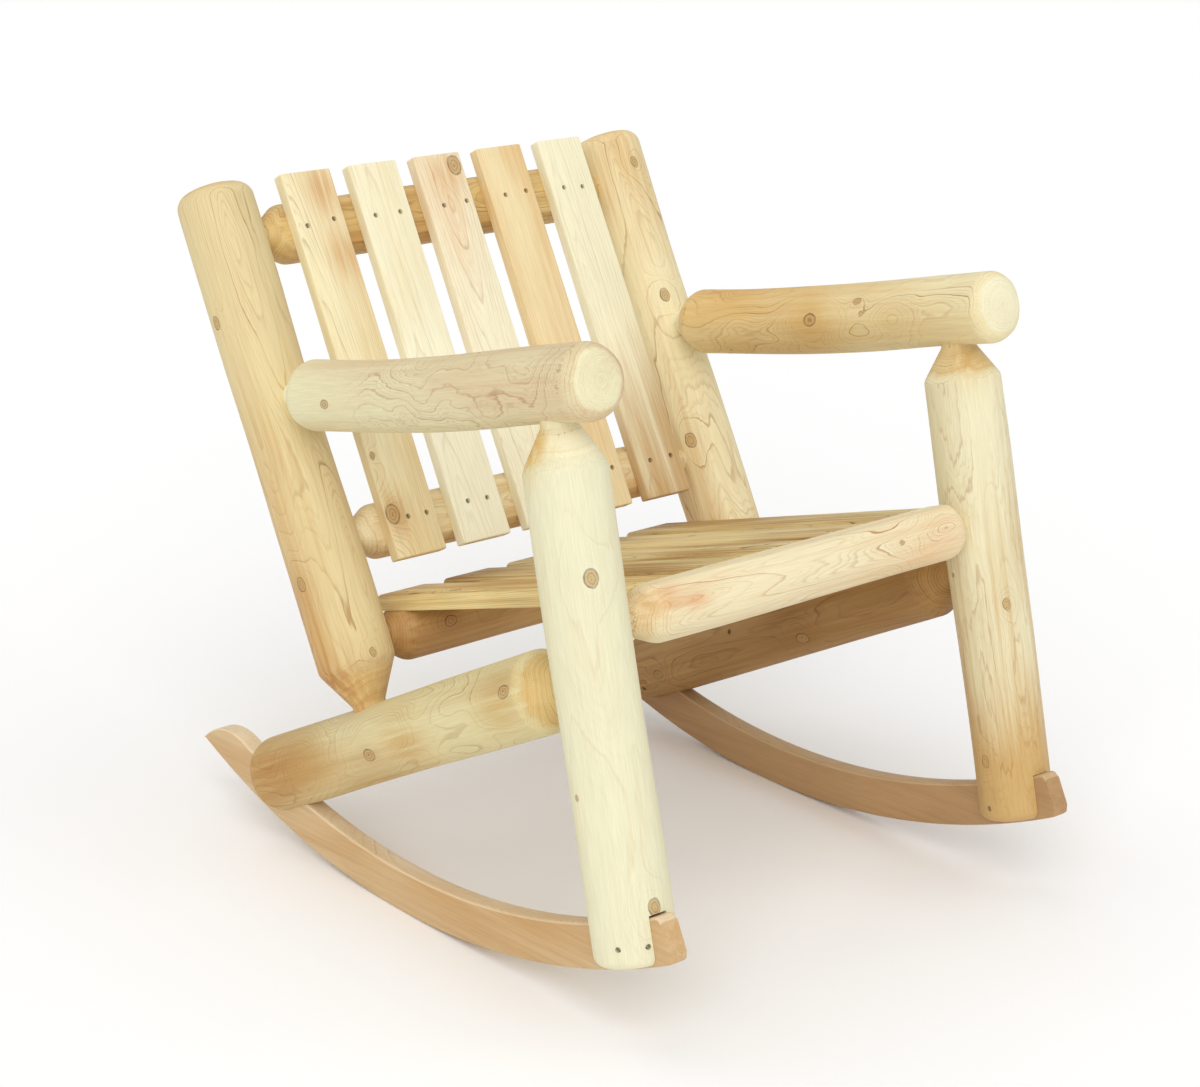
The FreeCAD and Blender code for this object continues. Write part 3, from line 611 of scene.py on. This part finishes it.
woods = {
    "frontPostRight": looks(
        "e6e1bf e0d5a9 c9a468 f4edca", swell=0.030, warmth=0.05, lines=0.22, across=9, along=2.0),
    "frontPostLeft": looks(
        "e7dfbb caa66b a06c30 dfc68c", gap=0.0025, swell=0.030, warmth=0.26, slope=-2.4,
        jag=0.0016),
    "rearPostRight": looks(
        "dfcc9a c8964e a06a2c e2c78c", gap=0.0024, swell=0.068, warmth=0.45, slope=-0.6,
        across=9, along=1.4),
    "rearPostLeft": looks(
        "ecdfb4 d6b274 a36e30 e4ca92", gap=0.0024, swell=0.056, warmth=0.34, across=9, along=1.5),
    "sideLogRight": looks(
        "ded1a0 c09a5c 96662c dfbe78", swell=0.046, warmth=0.34, slope=-0.9, across=10,
        along=4.0, streak=0.4),
    # the left (far) side log's colours and knot core are darkened as painted shade, for the shade
    # under the seat
    "sideLogLeft": looks(
        "b8925b 946a38 6d4924 b98f52", gap=0.0025, swell=0.040, warmth=0.45, core="ab8a55"),
    "armRight": looks(
        "e2dab1 d2ae84 a9713f eeeac2", gap=0.0032, swell=0.038, warmth=0.1, slope=0.5, lines=0.9,
        across=7, along=9.0, jag=0.0018, start=0.24, streak=0.5, ends=-0.5, bands=0.12),
    "armLeft": looks(
        "ecdfb2 d7b16f 9c641f f0ebca", gap=0.0025, swell=0.044, warmth=0.26, lines=0.9,
        across=9, along=4.5, streak=0.4, ends=-0.4, bands=0.12),
    # the top back rail's darker colours are partly its own tone and partly painted shade, for the
    # shade behind the slats
    "topBackRail": looks(
        "dcc087 b3833f 7a5225 dfc282", swell=0.036, warmth=0.45, lines=1.0, across=14, along=3.0),
    "lowerBackRail": looks(
        "ecdcb0 cfa466 9a6d39 efe2b8", swell=0.032, warmth=0.35, across=14, along=3.0),
    # the rear seat rail's colours and knot core are darkened as painted shade, for the shade under
    # the seat
    "rearSeatRail": looks(
        "c9a269 9f723b 6f4a23 c2965a", swell=0.036, warmth=0.45, lines=0.8, across=13,
        core="a98250"),
    "frontSeatLog": looks(
        "ecdfb8 e3bc8c b0733a e3cd9c", gap=0.0024, swell=0.09, warmth=0.2, lines=1.0, across=15,
        along=1.3),
}

# posts and side logs: an outline corner is (radius, height, rounding), a knot or swirl (height,
# degrees round the log, size), a stain has a tint too, and a screw is (degrees, height). On the
# right-hand log 0 degrees faces inwards and 180 outwards; the left-hand one's screws mirror it
logs = {
    "rearPost": {
        "node": "rear_post_", "slot": "golden_log", "wave": 0.0011, "limit": 0.0511,
        "sway": 0.0006, "screws": [],
        "outline": [(0, 0.02, 0), (0.022, 0.02, 0), (0.022, 0.053, 0), (0.0503, 0.105, 0.02),
                    (0.0503, 0.7505, 0.02), (0, 0.7505, 0)],
        "knots": {"right": [(0.575, 177, 0.007), (0.2207, -173, 0.007), (0.111, -96, 0.0045),
                            (0.62, -38, 0.006)],
                  "left": [(0.696, -89, 0.006), (0.498, -110, 0.0075), (0.2877, -143, 0.008)]},
        "stains": {"right": [(0.085, 175, 0.010, "cc9450"), (0.2, 155, 0.018, "d8a866"),
                             (0.06, -160, 0.02, "dab47a"), (0.06, 20, 0.02, "dab47a")],
                   "left": [(0.06, -20, 0.02, "dab47a"), (0.06, 160, 0.02, "dab47a")]}},
    "frontPost": {
        "node": "front_post_", "slot": "pale_log", "wave": 0.001, "limit": 0.0507,
        "sway": 0.0008, "stained": 0.04, "underArm": 0.04995,
        "outline": [(0, -0.338, 0), (0.05, -0.338, 0.012), (0.05, -0.006, 0),
                    (0.049, 0.244, 0.012)],
        "tenon": [(0.022, 0), (0.022, 0.03), (0, 0.03)],
        "slotFrom": -27.5, "slotTo": -16, "slotLift": {"right": 0.0025, "left": 0.0006},
        "screws": [(207, -0.3115), (5, -0.3188), (18, -0.0073), (-112, -0.3123)],
        "knots": {"right": [(0.1195, -117, 0.0085), (-0.1324, 174, 0.003), (-0.2685, -95, 0.008)],
                  "left": [(-0.0503, -115, 0.0055), (-0.2552, 179, 0.006)]},
        "stains": {"right": [(0.262, 160, 0.011, "f0d282"), (0.284, 172, 0.008, "ecc876"),
                             (0.272, 150, 0.009, "f0cf7c")],
                   "left": [(0.27, -120, 0.012, "e8c894")]}},
    "sideLog": {
        "node": "side_log_", "slot": "pale_log", "wave": 0.001, "limit": 0.0512, "sway": 0.0005,
        "slotFrom": 4, "slotTo": 22, "slotLift": 0.0006,
        "screws": [(14, -0.0046), (-38, -0.237)],
        "outline": [(0, -0.266, 0), (0.0505, -0.266, 0.024), (0.051, 0.364, 0.012),
                    (0.022, 0.4084, 0), (0.022, 0.435, 0), (0, 0.435, 0)],
        "knots": {"right": [(0.04, -167, 0.0085), (0.3509, 164, 0.008)],
                  "left": [(0.1327, -149, 0.0085), (-0.1862, -161, 0.007)]},
        "swirls": {"right": [(0.1, 170, 0.010), (-0.12, 178, 0.014), (0.04, -167, 0.014),
                             (0.3509, 164, 0.016)], "left": []},
        "stains": {"right": [(0.12, -165, 0.016, "e2b671"), (-0.2, 178, 0.022, "dfb678"),
                             (0.335, 178, 0.016, "e2bd7c")], "left": []}},
}


def forSide(settings, word):
    # settings given as right and left become that side's, and the others stay
    return {key: value[word] if isinstance(value, dict) else value
            for key, value in settings.items()}


def onSkin(marks, radius):
    # (height, angle, rest) becomes (radius times cosine, radius times sine, height) and the rest
    return [((radius * cos(radians(a)), radius * sin(radians(a)), z), *rest)
            for z, a, *rest in marks]


def makeLog(name, place, log, cutters=()):
    # the log's skin less its cutters, in its wood, with marks at the marked or stained radius
    piece = logSkin(name, place, log)
    if cutters:
        cutAway(piece, cutters)
    wood = dict(woods[name], seed=log["woodSeed"], outer=log["outer"])
    skinFinish = woodFinish(name + "Wood", place, wood, onSkin(log["knots"], log["marked"]),
                            onSkin(log.get("swirls", ()), log["marked"]),
                            onSkin(log.get("stains", ()), log.get("stained", log["marked"])))
    keep(piece, [skinFinish], [log["node"]])


def sweptArc(name, place, angles, low, high, halfWidth, edge):
    # a board's section carried along an arc, angles from straight down: y is the low or high radius
    # times sine, z is less it times cosine
    side, top, inX, inY = sectionLoop()
    e = np.minimum(edge, (low - high) * 0.45)[:, None]
    x = side * (halfWidth - e * inX)
    level = np.where(top > 0, high[:, None] + e * inY, low[:, None] - e * inY)
    y = level * np.sin(angles)[:, None]
    z = -level * np.cos(angles)[:, None]
    return joined(name, [placedGrid(place, np.stack([x, y, z], -1))]), top


rockerSlot = {"under": 0.03, "beside": 0.0004, "edge": 0.0001, "stations": 40}


def slotCutter(word, log):
    # the rocker's own arc, a little wider and lifted, and open below
    outer = chair["rockerRadius"]
    angles = np.radians(np.linspace(log["slotFrom"], log["slotTo"], rockerSlot["stations"]))
    low = np.full(len(angles), outer + rockerSlot["under"])
    high = np.full(len(angles), outer - chair["rockerDepth"] - log["slotLift"])
    place = placeOf(frameX[word], (0, outer), 0)
    half = chair["rockerThick"] / 2 + rockerSlot["beside"]
    return sweptArc("cutter", place, angles, low, high, half, rockerSlot["edge"])[0]


def onLog(place, outline, degrees, z):
    # on the log's skin, at the outline's radius there, with z pointing out
    radii, heights, rounds = zip(*outline[1:-1])
    radius = float(np.interp(z, heights, radii))
    out = (cos(radians(degrees)), sin(radians(degrees)), 0)
    return facing(place, (radius * out[0], radius * out[1], z), out)


logTurns = {"rearPost": (knee, -chair["rearLean"]), "frontPost": (crossing, -chair["frontLean"]),
            "sideLog": (knee, 90 - chair["sideRise"])}
logSeeds = {"each": 7, "right": 11, "left": 3, "wood": 1.3}
skinDeep = 0.004
logScrews = []
for word in sides:
    for count, (name, log) in enumerate(logs.items()):
        own = forSide(log, word)
        if name == "frontPost":  # its tenon is as high as its own arm
            under = chair["armHeight"][word] - log["underArm"]
            own["outline"] = log["outline"] + [(r, under + z, 0) for r, z in log["tenon"]]
        radius = max(corner[0] for corner in own["outline"])
        seed = count * logSeeds["each"] + logSeeds[word]
        own.update(node=log["node"] + word, seed=seed, woodSeed=seed * logSeeds["wood"],
                   marked=radius, outer=radius - skinDeep)
        place = placeOf(frameX[word], *logTurns[name])
        screws = [onLog(place, own["outline"], degrees if word == "right" else 180 - degrees, z)
                  for degrees, z in own["screws"]]
        logScrews += screws
        cutters = [screwBores("bores", screws)] if screws else []
        if "slotLift" in own:
            cutters.append(slotCutter(word, own))
        makeLog(name + word.capitalize(), place, own, cutters)
keep(screwHeads("logScrews", logScrews), [screwFinish])
print("posts and side logs made")

# an arm's outline: rear corners, the middle's radius and rounding, and corners back from its end
arm = {
    "seed": 40, "woodSeed": 21.0, "woodSeedStep": 4, "wave": 0.0011, "sway": 0.001,
    "rear": [(0, 0.03, 0), (0.0185, 0.03, 0), (0.0185, 0.0535, 0), (0.046, 0.094, 0.02)],
    "middle": (0.0445, 0.6), "front": [(0.0466, 0.006, 0.02), (0.02097, 0.0012, 0.08), (0, 0, 0)],
    "deep": 0.006, "shoulder": 0.094, "straight": 0.04, "bend": 0.005, "frontSag": 0.003,
    "slot": {"right": "pale_log", "left": "golden_log"},
    "knots": {"right": [(0.175, -171, 0.006), (0.33, -150, 0.002)],
              "left": [(0.354, -178, 0.009), (0.437, 153, 0.0055), (0.171, -125, 0.003),
                       (0.369, -131, 0.003)]},
    "swirls": {"right": [], "left": [(0.354, -178, 0.015), (0.5, -170, 0.012)]}}

for word in sides:
    own = forSide(arm, word)
    end = armChord[word] + chair["armOverhang"]
    own["bow"] = (own["shoulder"], armChord[word] - own["straight"], own["bend"], own["frontSag"])
    radius, rounding = own["middle"]
    middle = (radius, (own["shoulder"] + end) / 2, rounding)
    own["outline"] = own["rear"] + [middle] + [(r, end - z, turn) for r, z, turn in own["front"]]
    own.update(node="arm_" + word, seed=arm["seed"] + sides[word], marked=radius,
               outer=radius - own["deep"],
               woodSeed=arm["woodSeed"] + sides[word] * arm["woodSeedStep"])
    place = placeOf(frameX[word], armRear, 90 - armRise[word])
    makeLog("arm" + word.capitalize(), place, own)
print("arms made")

# rails across the chair, from the right end to the left end, between the logs' skins; a flat is
# (axis, where, which side of it stays)
rail = {"slot": "rail_log", "seed": 60, "woodSeed": 31.0, "woodSeedStep": 3, "sway": 0.0006,
        "wave": 0.0008, "inside": chair["half"] - 0.0505, "cones": (0.03, 0.03), "round": 0.02,
        "tenon": 0.0185, "tenonLong": 0.02}
slatFlat = ("x", chair["backThick"] - chair["backFace"], 1)
rails = {
    "topBackRail": {
        "node": "top_back_rail", "point": along(knee, chair["topRail"], chair["rearLean"]),
        "turn": -chair["rearLean"], "radii": (0.0405, 0.0405), "flats": [slatFlat],
        "knots": [(0.02, 160, 0.006)]},
    "lowerBackRail": {
        "node": "lower_back_rail", "point": along(knee, chair["lowRail"], chair["rearLean"]),
        "turn": -chair["rearLean"], "radii": (0.037, 0.037), "flats": [slatFlat],
        "knots": [(0.12, 60, 0.006)]},
    "rearSeatRail": {
        "node": "rear_seat_rail", "point": seatRailPoint, "turn": -seatRise,
        "radii": (0.038, 0.038), "flats": [("y", chair["seatOnRail"], -1)],
        "knots": [(-0.2033, 176, 0.0075), (0.1, -60, 0.006)]},
    "frontSeatLog": {
        "node": "front_seat_log", "slot": "pale_log", "point": frontLogPoint, "turn": -seatRise,
        "seed": 71, "woodSeed": 44.0, "sway": 0.0008, "wave": 0.001, "radii": (0.037, 0.0395),
        "marked": 0.038, "outer": 0.033, "inside": chair["half"] - 0.049,
        "cones": (0.046, 0.024), "round": 0.03, "flats": [("y", chair["seatOverLog"], -1)],
        "ledge": (chair["seatLip"], chair["seatOverLog"] - chair["seatThick"],
                  chair["pitch"] * 2 + chair["seatWidth"] / 2 + 0.001),
        "knots": [(0.1486, 171, 0.0032)], "swirls": [(0.19, -140, 0.012), (0.235, 150, 0.014)],
        "stains": [(-0.235, 150, 0.007, "f4c09e"), (-0.2, 172, 0.006, "f4c6a8"),
                   (-0.27, 158, 0.012, "e2c08a")]},
}

for count, (name, own) in enumerate(rails.items()):
    right, left = own["radii"]
    own = {**rail, "marked": right, "outer": right - skinDeep, "seed": rail["seed"] + count,
           "woodSeed": rail["woodSeed"] + count * rail["woodSeedStep"], **own}
    inside, tenon, (rightCone, leftCone) = own["inside"], own["tenon"], own["cones"]
    end = inside + own["tenonLong"]
    own["outline"] = [
        (0, -end, 0), (tenon, -end, 0), (tenon, -inside, 0),
        (right, rightCone - inside, own["round"]), (left, inside - leftCone, own["round"]),
        (tenon, inside, 0), (tenon, end, 0), (0, end, 0)]
    makeLog(name, placeOf(0, own["point"], own["turn"], across=True), own)

# fibres torn up where a tenon enters its log, z along the log and up against the torn side
frayed = {"spread": 0.003, "count": 90, "roots": (-0.5, 1), "lengths": (0.3, 1), "power": 1.5,
          "widths": (0.5, 1), "stray": 0.5, "tips": (-0.3, 0.8)}
frays = {
    "frontLogFray": {"place": placeOf(0, frontLogPoint, -seatRise, across=True), "z": -0.289,
                     "up": 1, "radius": 0.021, "length": 0.008, "width": 0.0008, "flare": 0.6},
    "postRightFray": {"place": placeOf(frameX["right"], *logTurns["frontPost"]), "z": 0.286,
                      "up": -1, "radius": 0.0238, "length": 0.007, "width": 0.0007, "flare": 0.4},
}
frayedWood = dict(woods["topBackRail"], seed=5.0, outer=0)
for seed, (name, ring) in enumerate(frays.items()):
    place = ring["place"] @ Matrix.Translation((0, 0, ring["z"]))
    if ring["up"] < 0:
        place = place @ Matrix.Rotation(pi, 4, "X")
    piece = fibres(name, place, dict(frayed, **ring), seed)
    keep(piece, [woodFinish(name + "Wood", place, frayedWood)])
print("cross logs made")

boardShape = {"station": 0.006, "endSteps": 5, "lowEnd": 0.2, "edgeWave": 0.0004,
              "waveTurns": (6, 14), "swing": 0.0005, "swingTurns": 5, "phase": 6, "woodStep": 3}


def boardSkin(name, place, board):
    # a rounded section along the board, drawn in at its ends by ease less the root of ease squared
    # less way squared; its sides follow two slow sines
    rng = np.random.default_rng(board["seed"])
    half, length, thick = board["width"] / 2, board["length"], board["thick"]
    ease = board["ease"]
    inner = np.linspace(0, length, int(length / boardShape["station"]))
    end = np.linspace(0, ease, boardShape["endSteps"])
    t = np.unique(np.concatenate([inner, end, length - end]))
    near = np.maximum(ease - np.minimum(t, length - t), 0)
    inset = (ease - np.sqrt(np.maximum(ease ** 2 - near ** 2, 0)))[:, None]
    side, top, inX, inY = sectionLoop()
    edge = np.where(top > 0, board["high"], board["low"])
    x = side * (half - edge * inX - inset)
    y = np.where(top > 0, thick - edge * inY - inset, edge * inY + boardShape["lowEnd"] * inset)
    turns = rng.uniform(*boardShape["waveTurns"])
    wave = boardShape["edgeWave"] * np.sin(t * turns + rng.uniform(0, boardShape["phase"]))
    swing = np.sin(t * boardShape["swingTurns"] + rng.uniform(0, boardShape["phase"]))
    x = x + wave[:, None] * side + boardShape["swing"] * swing[:, None]
    z = t[:, None] + np.zeros_like(x)
    return joined(name, [placedGrid(place, np.stack([x, y, z], -1))])


# a mark is a spot (across, through, along from the lower or front end) and a size, a stain has a
# tint too, and the heart line lies (across, behind) the board
boardWood = {"swell": 0.03, "across": 9, "along": 1.1, "tilt": 0.02}
backBoards = [
    looks("f5eac0 e4c88e 9d6b38", warmth=0.16, lines=0.6, heart=(-0.045, -0.045),
          stains=[((0.02, 0.017, 0.5), 0.012, "dba262"), ((0.022, 0.017, 0.41), 0.012, "dca868"),
                  ((-0.02, 0.017, 0.06), 0.009, "d0a474")],
          knots=[((-0.028, 0.017, 0.0595), 0.010), ((-0.0317, 0.017, 0.14), 0.004)]),
    looks("f7f2d4 ebdcae caa66d", warmth=-0.15, slope=0.8, lines=0.5, heart=(-0.02, -0.06)),
    looks("f5efcf ecd3ad bd8e58", warmth=0.0, slope=0.5, lines=0.6, heart=(0.0, -0.05),
          tilt=-0.05, stains=[((0.01, 0.017, 0.5), 0.014, "e9c698")],
          knots=[((0.0244, 0.017, 0.5093), 0.0105)]),
    looks("eedbac e0b97c b98246", warmth=0.6, lines=0.55, heart=(-0.12, -0.02), gap=0.0035,
          knots=[((-0.034, 0.017, 0.2), 0.003)]),
    looks("f2ecca c6a26c ad7f49", warmth=1.0, slope=-2.0, lines=0.6, heart=(-0.02, -0.05)),
]
seatWood = {"lines": 1.15, "swell": 0.045, "streak": 1.6}
seatBoards = [
    looks("f3de9f c79a50 80572a", warmth=0.42, heart=(-0.03, -0.03),
          knots=[((-0.02, 0.021, 0.36), 0.007)]),
    looks("e3cf96 a97d3f 6f4c22", warmth=0.42, heart=(0.1, -0.03),
          knots=[((0.018, 0.021, 0.25), 0.006)]),
    looks("e3d19a ad8343 6f4c22", warmth=0.4, heart=(0.0, -0.06)),
    looks("e0cb94 a67b3e 6b4920", warmth=0.45, heart=(-0.12, -0.03),
          knots=[((0.01, 0.021, 0.3), 0.005)]),
    looks("e3d29c b08747 6f4c22", warmth=0.42, heart=(0.05, -0.05)),
]


def boardFinish(name, place, look, seed):
    # the board's place, made right-handed, moved to its heart line and tilted a little
    wood = dict(boardWood, **look)
    wood.update(seed=seed, outer=0.0, cut=look["pale"])
    across, behind = wood["heart"]
    heart = (place @ Matrix.Scale(-1, 4, (1, 0, 0)) @ Matrix.Translation((-across, behind, 0))
             @ Matrix.Rotation(wood["tilt"], 4, "X"))
    own = heart.inverted() @ place
    knots, stains = ([(own @ Vector(spot), *rest) for spot, *rest in look.get(marks, ())]
                     for marks in ("knots", "stains"))
    return woodFinish(name, heart, wood, knots, (), stains)


# two screws into each rail through every slat, across and up from the middle of its lower end
backScrews = [
    [(-0.0216, 0.4546), (0.0223, 0.4588), (-0.0054, 0.0524), (0.0248, 0.0523)],
    [(-0.0195, 0.4556), (0.0216, 0.4557), (-0.0142, 0.0545), (0.018, 0.0534)],
    [(-0.0128, 0.4557), (0.0269, 0.4576), (-0.016, 0.053), (0.02, 0.0535)],
    [(-0.0132, 0.4581), (0.0241, 0.4599), (-0.016, 0.054), (0.0225, 0.055)],
    [(-0.0164, 0.4568), (0.0167, 0.4544), (-0.0167, 0.0528), (0.022, 0.0532)],
]
# the seat's rear pair of screws repeats the front pair, a little wider and over the rail
slatGaps = {"back": 0.0003, "seat": 0.0002}
rearScrews = {"wider": 1.1, "back": 0.012}
seatFront = seatReach - chair["seatLip"] - slatGaps["seat"]
seatScrews = [(-0.018, 0.012), (0.019, 0.011)]
seatScrews += [(x * rearScrews["wider"], seatFront + z - rearScrews["back"])
               for x, z in seatScrews]

# in a slat's own frame x is its width, y its thickness towards the good face, z its length
slats = {
    "backSlat": {
        "node": "back_slat_", "seed": 80, "woodSeed": 50.0, "place": backPlace,
        "shift": chair["backThick"],
        "turn": Matrix(((1, 0, 0, 0), (0, -1, 0, 0), (0, 0, 1, 0), (0, 0, 0, 1))),
        "width": chair["backWidth"], "thick": chair["backThick"],
        "length": chair["backLength"] - slatGaps["back"], "low": 0.0008, "high": 0.0025,
        "ease": 0.0022, "looks": backBoards, "screws": backScrews},
    "seatSlat": {
        "node": "seat_slat_", "seed": 90, "woodSeed": 70.0, "place": seatPlace,
        "shift": -seatFront,
        "turn": Matrix(((1, 0, 0, 0), (0, 0, 1, 0), (0, 1, 0, 0), (0, 0, 0, 1))),
        "width": chair["seatWidth"], "thick": chair["seatThick"],
        "length": seatFront + chair["seatOverhang"], "low": 0.0008, "high": 0.007,
        "ease": 0.0015, "looks": [dict(seatWood, **look) for look in seatBoards],
        "screws": [seatScrews] * len(seatBoards)},
}
slatScrews = []
for kind, slat in slats.items():
    for count, look in enumerate(slat["looks"]):
        digit = str(count + 1)
        name = kind + digit
        shift = ((count - 2) * chair["pitch"], slat["shift"], 0)
        place = slat["place"] @ Matrix.Translation(shift) @ slat["turn"]
        piece = boardSkin(name, place, dict(slat, seed=slat["seed"] + count))
        spots = [(x, slat["thick"], z) for x, z in slat["screws"][count]]
        screws = [facing(place, spot, (0, 1, 0)) for spot in spots]
        cutAway(piece, [screwBores("bores", screws)])
        slatScrews += screws
        seed = slat["woodSeed"] + count * boardShape["woodStep"]
        wood = boardFinish(name + "Wood", place, look, seed)
        keep(piece, [wood], [slat["node"] + digit])
keep(screwHeads("slatScrews", slatScrews), [screwFinish])
print("slats made")

rocker = {
    "front": 25.6, "rear": 26.02, "rearShort": 0.01, "nose": 0.089, "edge": 0.003,
    "endRound": 0.008, "raised": 0.0001, "stations": 260, "heart": (0.03, 0, -0.16), "seed": 90.0,
    "wood": {"swell": 0.032, "across": 8, "along": 1.4, "warmth": 0.4, "lines": 0.55,
             "rough": 0.5, "outer": 0.0},
    # on each rocker the top face, towards the seat, has its own lighter colours as painted light
    # from above
    "faces": {"right": {"side": "dbc297 c8a06c 986634", "top": "ebdabb dcc096 b48a5a"},
              # the left (far) rocker's colours, side and top, are darkened as painted shade
              "left": {"side": "b99468 9b7246 6f4a22", "top": "ccae84 b08a5e 8a6236"}}}


def makeRocker(word):
    # the inner radius is level up to the rear nose, then follows the nose's circle: across cos t
    # less the root of nose squared less (across sin t) squared; the front is eased as a board is
    outer = chair["rockerRadius"]
    inner = outer - chair["rockerDepth"]
    place = placeOf(frameX[word], (0, outer), 0)
    angles = np.radians(np.linspace(-rocker["front"], rocker["rear"] - rocker["rearShort"],
                                    rocker["stations"]))
    nose, across = rocker["nose"], inner + rocker["nose"]
    lag = math.acos((across ** 2 + outer ** 2 - nose ** 2) / (2 * across * outer))
    turn = angles - (radians(rocker["rear"]) - lag)
    fall = np.sqrt(np.maximum(nose ** 2 - (across * np.sin(turn)) ** 2, 0))
    high = np.where(turn > 0, across * np.cos(turn) - fall, inner)
    low = np.full(len(angles), outer - rocker["raised"])
    end = rocker["endRound"]
    near = np.maximum(end - (angles + radians(rocker["front"])) * outer, 0)
    inset = end - np.sqrt(np.maximum(end ** 2 - near ** 2, 0))
    piece, top = sweptArc("rocker" + word.capitalize(), place, angles, low - inset, high + inset,
                          chair["rockerThick"] / 2, rocker["edge"])
    # these top faces take the second, lighter finish: painted light from above
    inside = (top > 0) & (np.roll(top, -1) > 0)  # the face towards the seat, with its eased edges
    marks = np.concatenate([np.tile(inside, len(angles) - 1), np.zeros(2 * len(top), bool)])
    piece.data.polygons.foreach_set("material_index", marks.astype(int))
    return piece


for word in sides:
    piece = makeRocker(word)
    place = placeOf(frameX[word], (0, 0), 0)
    heart = place @ Matrix.Translation(rocker["heart"]) @ turnX(90)
    faces = []
    for face, colors in rocker["faces"][word].items():
        wood = looks(colors, seed=rocker["seed"] + sides[word], **rocker["wood"])
        wood["cut"] = wood["pale"]
        faces.append(woodFinish(piece.name + face.capitalize(), heart, wood))
    keep(piece, faces, ["rocker_" + word])
print("rockers made")

# plain floor, soft light and the camera; a lamp is (azimuth, rise, width in the sky, power)
studio = {"floorHalf": 30, "floorTone": 0.98, "floorRough": 0.9, "sky": 0.56, "lampAway": 4}
lamps = {"key": (224, 38, 50, 1.42), "fill": (300, 50, 50, 0.36), "top": (110, 68, 40, 0.38)}
view = {"spot": (-2.3142, -2.604, 1.4832), "right": (0.75361, -0.65733, 0),
        "down": (-0.18968, -0.21747, -0.95747), "ahead": (0.62936, 0.72155, -0.28857),
        "focal": 2778.6, "frame": 1200, "sensor": 36, "clip": 100}

floorMesh = bpy.data.meshes.new("floor")
far = studio["floorHalf"]
corners = [(-far, -far, 0), (far, -far, 0), (far, far, 0), (-far, far, 0)]
floorMesh.from_pydata(corners, [], [(0, 1, 2, 3)])
floor = bpy.data.objects.new("floor", floorMesh)
bpy.context.scene.collection.objects.link(floor)
floorFinish, floorShader = newMaterial("paleFloor")
floorShader.inputs["Base Color"].default_value = (*[studio["floorTone"]] * 3, 1)
floorShader.inputs["Roughness"].default_value = studio["floorRough"]
floorMesh.materials.append(floorFinish)

world = bpy.data.worlds.new("studio")
bpy.context.scene.world = world
bpy.context.scene.view_settings.view_transform = "Standard"
world.use_nodes = True
skyColor, skyPower = world.node_tree.nodes["Background"].inputs[:2]
skyColor.default_value = (1, 1, 1, 1)
skyPower.default_value = studio["sky"]

for name, (azimuth, rise, spread, power) in lamps.items():
    light = bpy.data.lights.new(name, "SUN")
    light.angle, light.energy = radians(spread), power
    holder = bpy.data.objects.new(name, light)
    a, e = radians(azimuth), radians(rise)
    toward = Vector((cos(a) * cos(e), sin(a) * cos(e), sin(e)))
    holder.location = toward * studio["lampAway"]
    holder.rotation_euler = toward.to_track_quat("Z", "Y").to_euler()
    bpy.context.scene.collection.objects.link(holder)

camera = bpy.data.cameras.new("camera")
camera.sensor_fit, camera.sensor_width = "HORIZONTAL", view["sensor"]
camera.lens = view["focal"] / view["frame"] * view["sensor"]
camera.clip_end = view["clip"]
eye = bpy.data.objects.new("camera", camera)
axes = Matrix([view["right"], [-v for v in view["down"]], [-v for v in view["ahead"]]])
eye.matrix_world = settle @ Matrix.Translation(view["spot"]) @ axes.transposed().to_4x4()
bpy.context.scene.collection.objects.link(eye)
bpy.context.scene.camera = eye
print("stage ready")
